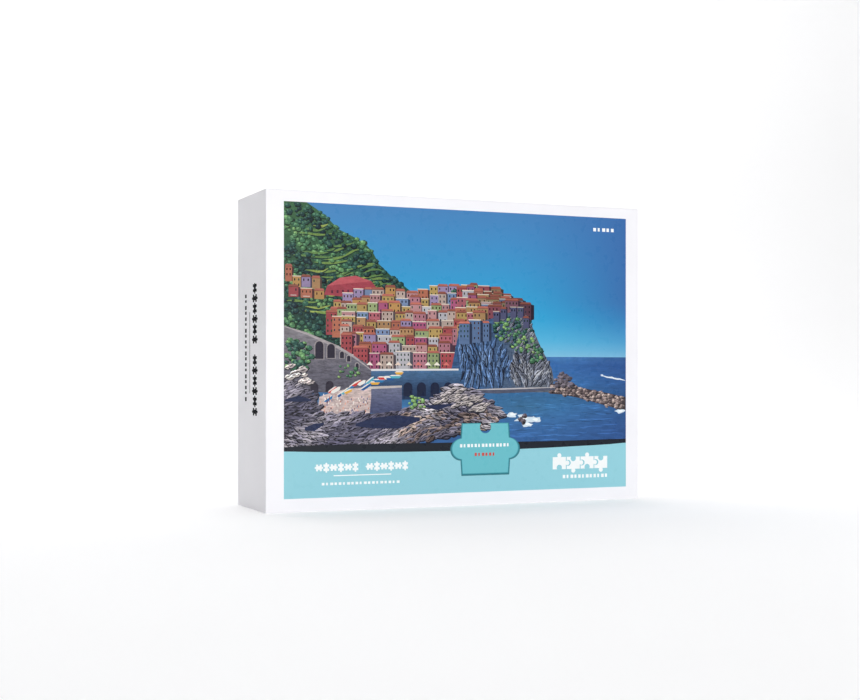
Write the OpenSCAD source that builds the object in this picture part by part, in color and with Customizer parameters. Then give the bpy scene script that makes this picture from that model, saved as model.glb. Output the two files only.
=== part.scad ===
// Boxed jigsaw puzzle: a two-part telescope box of wrapped greyboard, stood on one long side,
// that holds a reference picture and a heat-sealed bag with a thousand loose pieces.
// Units are millimetres. X runs along the width, Z is up, and the lid's printed panel faces -Y.
// The origin is on the ground under the middle of the box.

/* [Box] */
// Width of the closed box
box_w = 254; // [250:1:300]
// Height of the closed box as it stands
box_h = 190; // [185:1:230]
// Depth of the closed box, from printed panel to tray floor
box_d = 60; // [58:1:90]
// Thickness of the greyboard
board_t = 1.5; // [1.2:0.1:2]
// Thickness of the printed wrapping paper with its glue
wrap_t = 0.25; // [0.15:0.05:0.4]
// How far the paper is turned in over the rim
turn_in = 15; // [8:1:25]
// Gap all round between the tray and the lid
telescope_gap = 0.5; // [0.3:0.1:1]
// How far the lid's rim stops short of the tray's floor
rim_setback = 0.8; // [0.4:0.1:3]

/* [Corner stays] */
// Width of each leg of the paper tape that holds a corner
stay_leg = 20; // [10:1:30]
// Thickness of the tape, pressed into the board
stay_t = 0.15; // [0.1:0.05:0.25]
// Slit left between two board walls at a corner
corner_slit = 0.2; // [0.1:0.05:0.5]

/* [Reference picture] */
// Width of the printed sheet
sheet_w = 236; // [180:1:240]
// Height of the printed sheet
sheet_h = 170; // [120:1:176]
// Thickness of the printed sheet
sheet_t = 0.3; // [0.2:0.1:0.5]

/* [Puzzle] */
// Width of the finished puzzle
puzzle_w = 700; // [680:1:705]
// Height of the finished puzzle
puzzle_h = 500; // [480:1:505]
// Thickness of the pieces' board
piece_t = 1.7; // [1.4:0.1:1.8]
// Radius of a knob's round head
knob_r = 2.1; // [1.6:0.1:2.2]
// Distance from a piece's edge to the centre of the knob's head
knob_out = 1.4; // [1:0.1:1.5]
// Width of the cut between two pieces
cut_w = 0.1; // [0.05:0.05:0.3]

/* [Bag] */
// Thickness of the bag's film
film_t = 0.3; // [0.2:0.05:0.4]
// Radius of the bag's filled edges
bag_r = 8; // [7:0.5:9]
// Width of a heat-sealed seam
seam_w = 9; // [6:1:12]

/* [Hidden] */
puzzle_rows = 25;
puzzle_cols = 40;
cut_past = 1;                   // how far a cutting shape runs past what it cuts

// The tray stands inside the lid, telescope_gap clear of it all round.
wall_t = wrap_t + board_t + wrap_t;
lid_d = box_d - rim_setback;
tray_w = box_w - 2 * (wall_t + telescope_gap);
tray_h = box_h - 2 * (wall_t + telescope_gap);
tray_d = box_d - wrap_t - board_t - telescope_gap;
tray_floor_y = box_d / 2 - wrap_t - board_t;    // inner face of the tray's floor
tray_rim_y = box_d / 2 - tray_d;
tray_base_z = wall_t + telescope_gap + wall_t;  // inner face of the tray's lower wall
stay_margin = 3;                                // a stay stops this far from fold and rim

// The sheet stands on the tray's lower wall, just behind its rim.
loose_gap = 0.5;                // clearance round the things that lie loose in the tray
sheet_setback = 0.75;
sheet_y = tray_rim_y + sheet_setback;

// Pieces lie in layers across the depth, on a grid of staggered cells in each layer. A cell is
// wide enough for its piece to be turned any way round.
piece_w = puzzle_w / puzzle_cols;
piece_h = puzzle_h / puzzle_rows;
piece_reach = max(piece_h / 2 + knob_out + knob_r, norm([piece_w, piece_h]) / 2);
cell_gap = 0.4;                 // between pieces that reach furthest towards each other
cell_pitch = 2 * piece_reach + cell_gap;
cell_rise = cell_pitch * sqrt(3) / 2;
cell_cols = 8;
deep_rows = 6;                  // rows of cells in the layers at the back
shallow_rows = 5;               // and in those at the front, where the heap has slumped
deep_layers = 15;
layers = 22;
layer_gap = 0.45;               // leaves room for pieces that lean a little differently
layer_pitch = piece_t + layer_gap;
lean_most = 6;                  // steepest lean of a piece, in degrees
lean_step = 8;                  // change of the lean's phase from one layer to the next
knob_wander = 1.2;              // how far a knob may sit from the middle of its edge
shuffle_step = 617;             // shares no factor with the count of pieces
shuffle_start = 250;

cells = [
    for (layer = [0:layers - 1])
    for (row = [0:(layer < deep_layers ? deep_rows : shallow_rows) - 1])
    for (col = [0:cell_cols - 1])
    [layer, row, col]
];

// The film closes round the heap with its seams at the top, at the foot and down the back.
seam_t = 0.4;
bag_w = 241;
bag_d = 52.6;
bag_back_y = tray_floor_y - loose_gap - seam_t;
bag_y = bag_back_y - bag_d / 2;
bag_foot_z = tray_base_z + loose_gap + seam_t;
front_shoulder_z = 147;
back_shoulder_z = 157;
side_shoulder_z = 152;
top_seam_z = 168;
top_seam_w = 222;
foot_seam_w = 215;
seam_lean = 6;                  // the top seam lies this far behind the bag's middle
roof_drop = 1.15;               // the film's thickness straight down through the sloping roof
vent_r = 2.5;
vent_x = 70;
vent_z = 138;
heap_lift = 3.8;                // keeps the lowest layer's leaning pieces off the film
heap_base_z = bag_foot_z + film_t + heap_lift;
heap_d = (layers - 1) * layer_pitch;

// Each scattered property has its own series.
way_salt = 3;
shift_salt = 5;
tilt_salt = 7;
swing_salt = 11;
face_salt = 13;
turn_salt = 17;

function row_name(row) = str("puzzle_row_", row < 10 ? "0" : "", row);

// A repeatable scattered value from 0 up to 1, for item n of the series named by salt.
scatter_steps = 1009;           // a prime: how many different values there are
function scatter(n, salt) =
    ((37 * n * n + 7919 * n + 4409 * salt) % scatter_steps) / scatter_steps;

// Which way the knob on an inner cut points, and how far it sits along the edge.
function knob_way(cut) = scatter(cut, way_salt) < 0.5 ? 1 : -1;
function knob_shift(cut) = knob_wander * (2 * scatter(cut, shift_salt) - 1);

// The cuts right of a piece and above it: every inner cut of the puzzle has its own number.
function cut_right(row, col) = 2 * (row * puzzle_cols + col);
function cut_above(row, col) = cut_right(row, col) + 1;

// A block as wide and high as given, centred on the box's middle, from y_from to y_to.
module block(width, height, y_from, y_to)
    translate([-width / 2, y_from, (box_h - height) / 2])
    cube([width, y_to - y_from, height]);

// An open board shell with its closed panel at y = 0 and its rim at y = depth. The two are the
// sizes over the paper. The blank is one piece of board with its four walls folded up: the end
// walls butt between the long ones, and tape lies in the shallow steps at the corners.
module board_shell(outer_w, outer_h, depth) {
    w = outer_w - 2 * wrap_t;
    h = outer_h - 2 * wrap_t;
    difference() {
        block(w, h, wrap_t, depth - wrap_t);
        block(w - 2 * board_t, h - 2 * board_t, wrap_t + board_t, depth);
        for (x = [-1, 1], z = [-1, 1])
            translate([
                x * (w - board_t) / 2,
                wrap_t + board_t + depth / 2,
                box_h / 2 + z * (h / 2 - board_t)
            ])
            cube([board_t + cut_past, depth, corner_slit], center = true);
        stays(outer_w, outer_h, depth);
    }
}

// Four L-shaped strips of paper tape, one over each corner of a board shell.
module stays(outer_w, outer_h, depth) {
    w = outer_w - 2 * wrap_t;
    h = outer_h - 2 * wrap_t;
    for (x = [0, 1], z = [0, 1])
        translate([0, 0, box_h / 2])
        mirror([x, 0, 0])
        mirror([0, 0, z])
        translate([w / 2, stay_margin, h / 2])
        rotate([-90, 0, 0])
        linear_extrude(depth - 2 * stay_margin)
        difference() {
            translate([-stay_leg, 0])
                square(stay_leg);
            translate([-stay_leg - cut_past, stay_t])
                square(stay_leg + cut_past - stay_t);
        }
}

// The printed paper over a board shell: panel, walls, rim and the strip turned in behind it.
module wrap_shell(outer_w, outer_h, depth) {
    w = outer_w - 2 * wrap_t;
    h = outer_h - 2 * wrap_t;
    inner_w = w - 2 * board_t;
    inner_h = h - 2 * board_t;
    panel = wrap_t + board_t;
    difference() {
        block(outer_w, outer_h, 0, depth);
        difference() {
            block(w, h, wrap_t, depth - wrap_t);
            block(inner_w, inner_h, panel, depth);
        }
        block(inner_w, inner_h, panel, depth - turn_in);
        block(inner_w - 2 * wrap_t, inner_h - 2 * wrap_t, panel, depth + cut_past);
    }
}

module lid_place()
    translate([0, -box_d / 2, 0])
    children();

module tray_place()
    translate([0, box_d / 2, 0])
    mirror([0, 1, 0])
    children();

module lid_board()
    color("#a39a8c") lid_place() board_shell(box_w, box_h, lid_d);

module lid_corner_stays()
    color("#b9936a") lid_place() stays(box_w, box_h, lid_d);

module lid_wrap()
    color("#f4f3f6") lid_place() wrap_shell(box_w, box_h, lid_d);

module tray_board()
    color("#a39a8c") tray_place() board_shell(tray_w, tray_h, tray_d);

module tray_corner_stays()
    color("#b9936a") tray_place() stays(tray_w, tray_h, tray_d);

module tray_wrap()
    color("#f7f7f9") tray_place() wrap_shell(tray_w, tray_h, tray_d);

module reference_picture()
    color("#5fa8cf")
    translate([-sheet_w / 2, sheet_y, tray_base_z + loose_gap])
    cube([sheet_w, sheet_t, sheet_h]);

// A rectangle with round corners, centred.
module rounded_square(w, h, r) {
    square([w, h - 2 * r], center = true);
    square([w - 2 * r, h], center = true);
    for (x = [-1, 1], y = [-1, 1])
        translate([x * (w / 2 - r), y * (h / 2 - r)])
        circle(r, $fn = 48);
}

// The bag seen square on, shrunk by inset: a round foot, straight flanks up to the two
// shoulders, and a roof that draws in to the top seam, which reaches seam_half either way.
module bag_profile(half, low_shoulder, high_shoulder, seam_at, seam_half, inset) {
    flank = half - inset;
    r = bag_r - inset;
    foot = bag_foot_z + inset;
    drop = roof_drop * inset;
    polygon([
        [-flank, foot + r],
        [-flank, low_shoulder - drop],
        [seam_at - seam_half, top_seam_z - drop],
        [seam_at + seam_half, top_seam_z - drop],
        [flank, high_shoulder - drop],
        [flank, foot + r]
    ]);
    translate([-flank + r, foot])
        square([2 * (flank - r), r + cut_past]);
    for (side = [-1, 1])
        translate([side * (flank - r), foot + r])
        circle(r, $fn = 48);
}

// The filled body of the bag, shrunk by inset: what its plan and its two profiles all hold.
module bag_body(inset)
    intersection() {
        translate([0, bag_y, 0])
            linear_extrude(box_h)
            rounded_square(bag_w - 2 * inset, bag_d - 2 * inset, bag_r - inset);
        translate([0, box_d, 0])
            rotate([90, 0, 0])
            linear_extrude(2 * box_d)
            bag_profile(bag_w / 2, side_shoulder_z, side_shoulder_z, 0, top_seam_w / 2, inset);
        translate([-box_w / 2, bag_y, 0])
            rotate([90, 0, 90])
            linear_extrude(box_w)
            bag_profile(bag_d / 2, front_shoulder_z, back_shoulder_z, seam_lean, seam_t / 2, inset);
    }

// A strip of flattened film, from its lowest corner.
module seam(corner, size)
    translate(corner)
    cube(size);

module bag_film()
    color("#dfe9ee", 0.35)
    difference() {
        union() {
            bag_body(0);
            seam([-top_seam_w / 2, bag_y + seam_lean - seam_t / 2, top_seam_z - film_t],
                [top_seam_w, seam_t, seam_w]);
            seam([-foot_seam_w / 2, bag_y - seam_w / 2, bag_foot_z - seam_t],
                [foot_seam_w, seam_w, seam_t + film_t / 2]);
            seam([-seam_w / 2, bag_back_y - film_t / 2, bag_foot_z + bag_r],
                [seam_w, seam_t + film_t / 2, side_shoulder_z - bag_foot_z - 2 * bag_r]);
        }
        bag_body(film_t);
        translate([vent_x, bag_y, vent_z])
            rotate([90, 0, 0])
            cylinder(h = bag_d, r = vent_r, $fn = 32);
    }

// A knob's head beyond the edge at the origin, or with out = -1 the hollow for one behind it.
module knob(out)
    translate([out * knob_out, 0])
    circle(out > 0 ? knob_r : knob_r + cut_w, $fn = 24);

// The outline of a piece, centred, with column along +X and row along +Y of the picture. Each
// side of it is [angle, distance, way, shift], and a way of 0 leaves the puzzle's straight border.
module piece_outline(row, col) {
    half_w = piece_w / 2;
    half_h = piece_h / 2;
    right = cut_right(row, col);
    above = cut_above(row, col);
    left = cut_right(row, col - 1);
    below = cut_above(row - 1, col);
    sides = [
        [0, half_w, col < puzzle_cols - 1 ? knob_way(right) : 0, knob_shift(right)],
        [90, half_h, row < puzzle_rows - 1 ? knob_way(above) : 0, -knob_shift(above)],
        [180, half_w, col > 0 ? -knob_way(left) : 0, -knob_shift(left)],
        [270, half_h, row > 0 ? -knob_way(below) : 0, knob_shift(below)]
    ];
    difference() {
        union() {
            square([piece_w - cut_w, piece_h - cut_w], center = true);
            for (side = sides)
                if (side[2] > 0)
                    rotate(side[0])
                    translate([side[1] - cut_w / 2, side[3]])
                    knob(1);
        }
        for (side = sides)
            if (side[2] < 0)
                rotate(side[0])
                translate([side[1] - cut_w / 2, side[3]])
                knob(-1);
    }
}

// One row of the puzzle, with each of its pieces where it lies in the heap. The shuffle sends
// neighbours in the picture to cells that are far apart.
module puzzle_row(row)
    for (col = [0:puzzle_cols - 1]) {
        number = row * puzzle_cols + col;
        cell = cells[(shuffle_step * number + shuffle_start) % len(cells)];
        stack = cell[1] * cell_cols + cell[2];
        stagger = (cell[1] % 2 == 0 ? -1 : 1) * cell_pitch / 4;
        phase = lean_step * cell[0];
        translate([
            (cell[2] - (cell_cols - 1) / 2) * cell_pitch + stagger,
            bag_y + heap_d / 2 - cell[0] * layer_pitch,
            heap_base_z + piece_reach + cell[1] * cell_rise
        ])
        rotate([
            lean_most * sin(phase + 360 * scatter(stack, tilt_salt)),
            0,
            lean_most * sin(phase + 360 * scatter(stack, swing_salt))
        ])
        rotate([scatter(number, face_salt) < 0.5 ? 90 : -90, 0, 0])
        rotate([0, 0, 360 * scatter(number, turn_salt)])
        translate([0, 0, -piece_t / 2])
        linear_extrude(piece_t)
        piece_outline(row, col);
    }

// Colours run from the pale sky rows at the top of the picture to the dark rocks at its foot.
function row_colour(row) =
    let (up = row / (puzzle_rows - 1))
    up > 0.55 ? [0.2, 0.5 + 0.15 * up, 0.8] : [0.35 + 0.3 * up, 0.4 + 0.1 * up, 0.45 - 0.2 * up];

lid_board();
lid_corner_stays();
lid_wrap();
tray_board();
tray_corner_stays();
tray_wrap();
reference_picture();
bag_film();
for (row = [1:puzzle_rows])
    color(row_colour(row - 1)) puzzle_row(row - 1);
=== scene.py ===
import math
import random

import bmesh
import bpy
import numpy as np
from mathutils import Matrix, Vector, geometry, noise


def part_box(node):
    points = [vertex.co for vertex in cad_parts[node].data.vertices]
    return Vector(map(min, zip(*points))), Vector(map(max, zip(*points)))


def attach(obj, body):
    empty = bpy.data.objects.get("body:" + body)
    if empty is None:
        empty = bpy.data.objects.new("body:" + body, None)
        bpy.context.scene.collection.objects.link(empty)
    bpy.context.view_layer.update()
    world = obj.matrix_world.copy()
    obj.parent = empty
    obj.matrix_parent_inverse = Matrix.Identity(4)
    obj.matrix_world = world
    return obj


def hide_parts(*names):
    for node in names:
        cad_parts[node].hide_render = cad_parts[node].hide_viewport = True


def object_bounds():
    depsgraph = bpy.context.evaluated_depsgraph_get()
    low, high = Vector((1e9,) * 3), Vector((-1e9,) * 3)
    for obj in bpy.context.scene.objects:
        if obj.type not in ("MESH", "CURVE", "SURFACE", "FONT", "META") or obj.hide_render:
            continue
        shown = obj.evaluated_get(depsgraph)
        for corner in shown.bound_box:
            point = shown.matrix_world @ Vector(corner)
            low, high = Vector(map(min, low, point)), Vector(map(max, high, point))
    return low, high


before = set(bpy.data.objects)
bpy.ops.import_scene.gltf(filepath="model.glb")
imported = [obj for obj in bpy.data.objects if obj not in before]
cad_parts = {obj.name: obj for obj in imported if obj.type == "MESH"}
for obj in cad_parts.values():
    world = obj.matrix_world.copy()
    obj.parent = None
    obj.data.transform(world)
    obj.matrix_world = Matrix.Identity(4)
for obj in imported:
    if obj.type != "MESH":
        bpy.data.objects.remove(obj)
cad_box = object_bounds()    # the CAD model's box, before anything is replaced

MM = 0.001

# ---------------------------------------------------------------------------
# Sizes, in millimetres unless a name says otherwise. Places come from the frame.

box_low, box_high = (corner / MM for corner in map(Vector, cad_box))
BOX_W, BOX_D, _ = box_high - box_low
FRONT_Y = box_low.y

WRAP_T = 0.25                # printed paper with its glue
BOARD_T = 1.5                # greyboard
TURN_IN = 15.0               # paper turned in over the rim
FOLD_R = 0.6                 # radius of a paper fold over the board's edge
RIM_R = 0.7                  # radius of the paper over each edge of the rim
INK = 0.02                   # how far a printed layer lies above its paper
MERGE = 0.02                 # corners of a print closer than this are one
STRAIGHT = 0.03              # a line's point this close to the straight is left out
GRADIENT_STEP = 5.0          # spacing of the points that carry the sky's and the sea's gradients
LABEL_TOP, LABEL_DEPTH = 136.0, 34.0    # where the side label starts, from the foot and the panel

PUZZLE_ROWS, PUZZLE_COLS = 25, 40
PUZZLE_W, PUZZLE_H = 700.0, 500.0
PIECE_T = 1.7
KNOB_R, KNOB_OUT, KNOB_WANDER = 2.1, 1.4, 1.2
CUT_W = 0.1


# ---------------------------------------------------------------------------
# Colours are written as 0 to 255 sRGB, and go into Blender as linear light.

INK_DEPTH = 0.93             # how strong a printed colour is laid down
VARNISH_GLOW = 0.003         # light that the varnish adds, taken off the ink below it
CUT_GREY = (0.4, 0.4, 0.4, 1.0)    # the board of a cut piece, in linear light


def linear(colour):
    return tuple(
        (c / 255 / 12.92) if c / 255 <= 0.04045 else ((c / 255 + 0.055) / 1.055) ** 2.4
        for c in colour
    )


def mixed(a, b, t):
    t = min(max(t, 0.0), 1.0)
    return tuple(x + (y - x) * t for x, y in zip(a, b))


def shaded(colour, factor):
    return tuple(min(max(c * factor, 0), 255) for c in colour)


def along(stops, t):
    """The colour at t on a list of (place, colour) stops in rising order."""
    for (t0, c0), (t1, c1) in zip(stops, stops[1:]):
        if t <= t1:
            return mixed(c0, c1, (t - t0) / (t1 - t0))
    return stops[-1][1]


def level(stops, u):
    """The height at u on a list of (u, v) points in rising order."""
    return along([(p, (q,)) for p, q in stops], u)[0]


# ---------------------------------------------------------------------------
# Node materials

class Finish:
    """A node material round a Principled shader, with short calls for its patterns."""

    def __init__(self, name, **sockets):
        self.material = bpy.data.materials.new(name)
        self.material.use_nodes = True
        self.tree = self.material.node_tree
        self.shader = self.tree.nodes["Principled BSDF"]
        self.place = self.node("ShaderNodeTexCoord").outputs["Object"]
        for socket, value in sockets.items():
            self.shader.inputs[socket.replace("_", " ")].default_value = value

    def node(self, kind, **settings):
        made = self.tree.nodes.new(kind)
        for name, value in settings.items():
            setattr(made, name, value)
        return made

    def feed(self, socket, value):
        if isinstance(value, bpy.types.NodeSocket):
            self.tree.links.new(value, socket)
        else:
            socket.default_value = value

    def stretched(self, scale, turn=(0, 0, 0)):
        mapping = self.node("ShaderNodeMapping")
        self.feed(mapping.inputs["Vector"], self.place)
        mapping.inputs["Scale"].default_value = scale
        mapping.inputs["Rotation"].default_value = turn
        return mapping.outputs["Vector"]

    def noise(self, scale, detail=4.0, roughness=0.6, stretch=(1, 1, 1), turn=(0, 0, 0)):
        """Fractal noise of that many waves a metre."""
        made = self.node("ShaderNodeTexNoise")
        self.feed(made.inputs["Vector"], self.stretched(stretch, turn))
        made.inputs["Scale"].default_value = scale
        made.inputs["Detail"].default_value = detail
        made.inputs["Roughness"].default_value = roughness
        return made.outputs["Fac"]

    def cracks(self, scale):
        """Distance to the nearest edge between scattered cells."""
        made = self.node("ShaderNodeTexVoronoi", feature="DISTANCE_TO_EDGE")
        self.feed(made.inputs["Vector"], self.place)
        made.inputs["Scale"].default_value = scale
        return made.outputs["Distance"]

    def math(self, operation, a, b=0.0):
        made = self.node("ShaderNodeMath", operation=operation)
        self.feed(made.inputs[0], a)
        self.feed(made.inputs[1], b)
        return made.outputs[0]

    def ramp(self, factor, *stops):
        made = self.node("ShaderNodeValToRGB")
        self.feed(made.inputs["Fac"], factor)
        elements = made.color_ramp.elements
        while len(elements) < len(stops):
            elements.new(0.5)
        for element, (position, colour) in zip(elements, stops):
            element.position = position
            element.color = (*linear(colour), 1.0)
        return made.outputs["Color"]

    def graph(self, factor, low, high, low_value=0.0, high_value=1.0):
        made = self.node("ShaderNodeMapRange")
        self.feed(made.inputs["Value"], factor)
        made.inputs["From Min"].default_value = low
        made.inputs["From Max"].default_value = high
        made.inputs["To Min"].default_value = low_value
        made.inputs["To Max"].default_value = high_value
        return made.outputs["Result"]

    def mix(self, factor, a, b, blend_type="MIX"):
        made = self.node("ShaderNodeMix", data_type="RGBA", blend_type=blend_type)
        self.feed(made.inputs["Factor"], factor)
        self.feed(made.inputs["A"], a)
        self.feed(made.inputs["B"], b)
        return made.outputs["Result"]

    def painted(self, layer):
        """The colours that a mesh carries in the layer of that name."""
        return self.node("ShaderNodeAttribute", attribute_name=layer).outputs["Color"]

    def channels(self, layer):
        made = self.node("ShaderNodeSeparateColor")
        self.feed(made.inputs["Color"], self.painted(layer))
        return made.outputs["Red"], made.outputs["Green"], made.outputs["Blue"]

    def bump(self, height, strength, distance):
        made = self.node("ShaderNodeBump")
        made.inputs["Strength"].default_value = strength
        made.inputs["Distance"].default_value = distance
        self.feed(made.inputs["Height"], height)
        self.feed(self.shader.inputs["Normal"], made.outputs["Normal"])

    def colour(self, value):
        self.feed(self.shader.inputs["Base Color"], value)

    def roughness(self, value):
        self.feed(self.shader.inputs["Roughness"], value)


def rgba(colour):
    return (*linear(colour), 1.0)


def inked(colour):
    """A printed colour in linear light, a little darker than it will look under its varnish."""
    return tuple(max(c * INK_DEPTH - VARNISH_GLOW, 0.001) for c in linear(colour))


# ---------------------------------------------------------------------------
# Flat artwork: shapes laid over each other, in millimetres on the panel they are printed on,
# with u to the right and v up from the panel's lower left corner.

def is_left_turning(points):
    return sum(a[0] * b[1] - b[0] * a[1] for a, b in zip(points, points[1:] + points[:1])) > 0


def arc(u, v, radius, start, end, steps=4, flat=1.0):
    """Points on an arc, with its angles in degrees. flat stretches it along u."""
    return [
        (u + flat * radius * math.cos(a), v + radius * math.sin(a))
        for a in (math.radians(start + (end - start) * k / steps) for k in range(steps + 1))
    ]


def blob(rng, u, v, radius, count=9, flat=0.75, rough=0.25):
    """An irregular rounded outline about (u, v)."""
    start = rng.random()
    outline = []
    for k in range(count):
        angle = math.tau * (k + start) / count
        reach = radius * (1 + rough * (2 * rng.random() - 1))
        outline.append((u + reach * math.cos(angle), v + flat * reach * math.sin(angle)))
    return outline


def inside(u, v, outline):
    odd = False
    for (u0, v0), (u1, v1) in zip(outline, outline[1:] + outline[:1]):
        if (v0 > v) != (v1 > v) and u < u0 + (v - v0) * (u1 - u0) / (v1 - v0):
            odd = not odd
    return odd


def scattered(rng, outline, step):
    """Places about step apart inside an outline, from its top down."""
    us, vs = zip(*outline)
    v = max(vs)
    while v > min(vs):
        u = min(us)
        while u < max(us):
            place = u + step * (rng.random() - 0.5), v + step * 0.6 * (rng.random() - 0.5)
            if inside(*place, outline):
                yield place
            u += step
        v -= step * 0.7


def ribbon(path, width, wobble=0.0, rng=None):
    """The outline of a band that follows a path of (u, v) points and tapers at its ends."""
    above, below = [], []
    for k, (u, v) in enumerate(path):
        half = width / 2 * (0.25 + 0.75 * math.sin(math.pi * k / (len(path) - 1)))
        if rng:
            half *= 1 + wobble * (rng.random() - 0.5)
        above.append((u, v + half))
        below.append((u, v - half))
    return below + above[::-1]


def jigsaw_outline(width, height, ways, shifts=(0, 0, 0, 0), knob=KNOB_R, out=KNOB_OUT, slack=0.0,
                   steps=7):
    """A jigsaw piece centred on the origin. ways and shifts give its right, top, left and bottom
    sides: 1 for a knob, -1 for a hollow, 0 for neither, and the knob's place along the side. A
    hollow is wider than a knob by slack all round."""
    outline = []
    for side in range(4):
        reach, half = (width / 2, height / 2) if side % 2 == 0 else (height / 2, width / 2)
        points = [(reach, -half)]
        if ways[side]:
            radius = knob if ways[side] > 0 else knob + slack
            neck = math.acos(out / radius)
            for k in range(steps + 1):
                angle = (2 * k / steps - 1) * (math.pi - neck)
                points.append((
                    reach + ways[side] * (out + radius * math.cos(angle)),
                    shifts[side] + radius * math.sin(angle),
                ))
        turn = side * math.pi / 2
        c, s = round(math.cos(turn)), round(math.sin(turn))
        outline += [(x * c - y * s, x * s + y * c) for x, y in points]
    return outline


def moved(outline, u, v, angle=0.0, scale=1.0):
    c, s = scale * math.cos(angle), scale * math.sin(angle)
    return [(u + x * c - y * s, v + x * s + y * c) for x, y in outline]


class Artwork:
    """Shapes from the back to the front, inside the box from low to high. Each has an outline, a
    colour or a function of (u, v) that gives one, and how strongly foliage, rock and water
    patterns show on it, from 0 to 1."""

    def __init__(self, low, high):
        self.low, self.high = low, high
        self.shapes = []

    def add(self, outline, colour, foliage=0.0, rock=0.0, water=0.0):
        if not is_left_turning(outline):
            outline = outline[::-1]
        self.shapes.append((outline, colour, (foliage, rock, water)))

    def rectangle(self, u, v, width, height, colour, **patterns):
        corners = [(u, v), (u + width, v), (u + width, v + height), (u, v + height)]
        self.add(corners, colour, **patterns)

    def on_top(self, places):
        """The number of the uppermost shape at each place, or -1 where there is none."""
        order = np.argsort(places[:, 0])
        us, vs = places[order].T
        top = np.full(len(places), -1)
        for number, (outline, _, _) in enumerate(self.shapes):
            corners = np.array(outline)
            first, last = np.searchsorted(us, (corners[:, 0].min(), corners[:, 0].max()))
            span = slice(first, last)
            odd = np.zeros(last - first, bool)
            for (u0, v0), (u1, v1) in zip(corners, np.roll(corners, -1, 0)):
                if v0 != v1:
                    crossing = (v0 > vs[span]) != (v1 > vs[span])
                    odd ^= crossing & (us[span] < u0 + (vs[span] - v0) * (u1 - u0) / (v1 - v0))
            top[span][odd] = number
        owners = np.empty(len(places), int)
        owners[order] = top
        return owners

    def triangles(self, points, edges):
        """Triangles along the given edges, and the shape that is uppermost on each of them."""
        found, _, cells, _, _, _ = geometry.delaunay_2d_cdt(points, edges, [], 0, MERGE)
        found, cells = np.array(found), np.array(cells)
        middles = found[cells].mean(1)
        within = ((middles > self.low) & (middles < self.high)).all(1)
        return found, cells, np.where(within, self.on_top(middles), -1)

    def borders(self):
        """Points and edges of the lines where two colours meet, with needless points left out."""
        (left, foot), (right, top) = self.low, self.high
        frame_outline = [(left, foot), (right, foot), (right, top), (left, top)]
        points, edges = [], []
        for outline in (frame_outline, *(shape[0] for shape in self.shapes)):
            first, count = len(points), len(outline)
            points += [Vector(p) for p in outline]
            edges += [(first + k, first + (k + 1) % count) for k in range(count)]
        found, cells, owners = self.triangles(points, edges)
        sides = {}
        for cell, owner in zip(cells.tolist(), owners.tolist()):
            for a, b in ((cell[0], cell[1]), (cell[1], cell[2]), (cell[2], cell[0])):
                sides.setdefault((min(a, b), max(a, b)), []).append(owner)
        near = {}
        for (a, b), met in sides.items():
            if (met[0] != met[1]) if len(met) == 2 else (met[0] >= 0):
                near.setdefault(a, set()).add(b)
                near.setdefault(b, set()).add(a)
        for point in list(near):
            if len(near[point]) == 2:
                a, b = near[point]
                start, span = found[a], found[b] - found[a]
                offset = found[point] - start
                away = abs(span[0] * offset[1] - span[1] * offset[0]) / math.hypot(*span)
                if away < STRAIGHT and b not in near[a]:
                    near[a] = near[a] - {point} | {b}
                    near[b] = near[b] - {point} | {a}
                    del near[point]
        numbers = {point: k for k, point in enumerate(near)}
        lines = [(numbers[a], numbers[b]) for a in near for b in near[a] if a < b]
        return [Vector(found[point]) for point in near], lines

    def cut(self, grid=0.0):
        """Cuts the artwork into triangles along every line that shows. grid is the spacing of
        extra points that carry the gradients."""
        points, edges = self.borders()
        if grid:
            us, vs = (
                np.linspace(low, high, round((high - low) / grid) + 1)
                for low, high in zip(self.low, self.high)
            )
            points += [Vector((u, v)) for u in us for v in vs]
        self.points, cells, owners = self.triangles(points, edges)
        shown = owners >= 0
        self.cells, owners = cells[shown], owners[shown]
        self.inks = np.ones((len(owners), 3, 4))
        self.patterns = np.ones((len(owners), 3, 4))
        for number, owner in enumerate(owners):
            _, colour, patterns = self.shapes[owner]
            self.patterns[number, :, :3] = patterns
            if callable(colour):
                corners = self.points[self.cells[number]]
                self.inks[number, :, :3] = [inked(colour(*corner)) for corner in corners]
            else:
                self.inks[number, :, :3] = inked(colour)
        return self

    def mesh(self, name, place):
        """A flat mesh of the cut artwork. place(u, v) gives a point in metres."""
        used, cells = np.unique(self.cells, return_inverse=True)
        mesh = bpy.data.meshes.new(name)
        mesh.from_pydata([place(*p) for p in self.points[used]], [], cells.reshape(-1, 3).tolist())
        for layer, values in (("ink", self.inks), ("patterns", self.patterns)):
            made = mesh.color_attributes.new(layer, "FLOAT_COLOR", "CORNER")
            made.data.foreach_set("color", values.ravel())
        return mesh

    def sampled(self, pitch):
        """The artwork's inks at a regular pitch, in rows from its foot, for small loose pieces."""
        us = np.arange(self.low[0] + pitch / 2, self.high[0], pitch)
        vs = np.arange(self.low[1] + pitch / 2, self.high[1], pitch)
        spots = np.stack(np.meshgrid(us, vs), -1).reshape(-1, 2)
        colours = [
            inked(colour(*spot) if callable(colour) else colour)
            for spot, (_, colour, _) in zip(spots, (self.shapes[k] for k in self.on_top(spots)))
        ]
        return np.array(colours).reshape(len(vs), len(us), 3)


# ---------------------------------------------------------------------------
# The picture: a fishing village on a headland, drawn for this part in simple shapes. Each
# draw_ function takes the artwork and the random draws, and works from the back to the front.

LEFT, BOTTOM, RIGHT, TOP = 11.1, 8.1, 244.5, 183.0    # edges of the print on the lid
PRINT_FOOT = 16.3            # the village's own lower edge, which the teal band hides
HORIZON = 92.5
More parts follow.
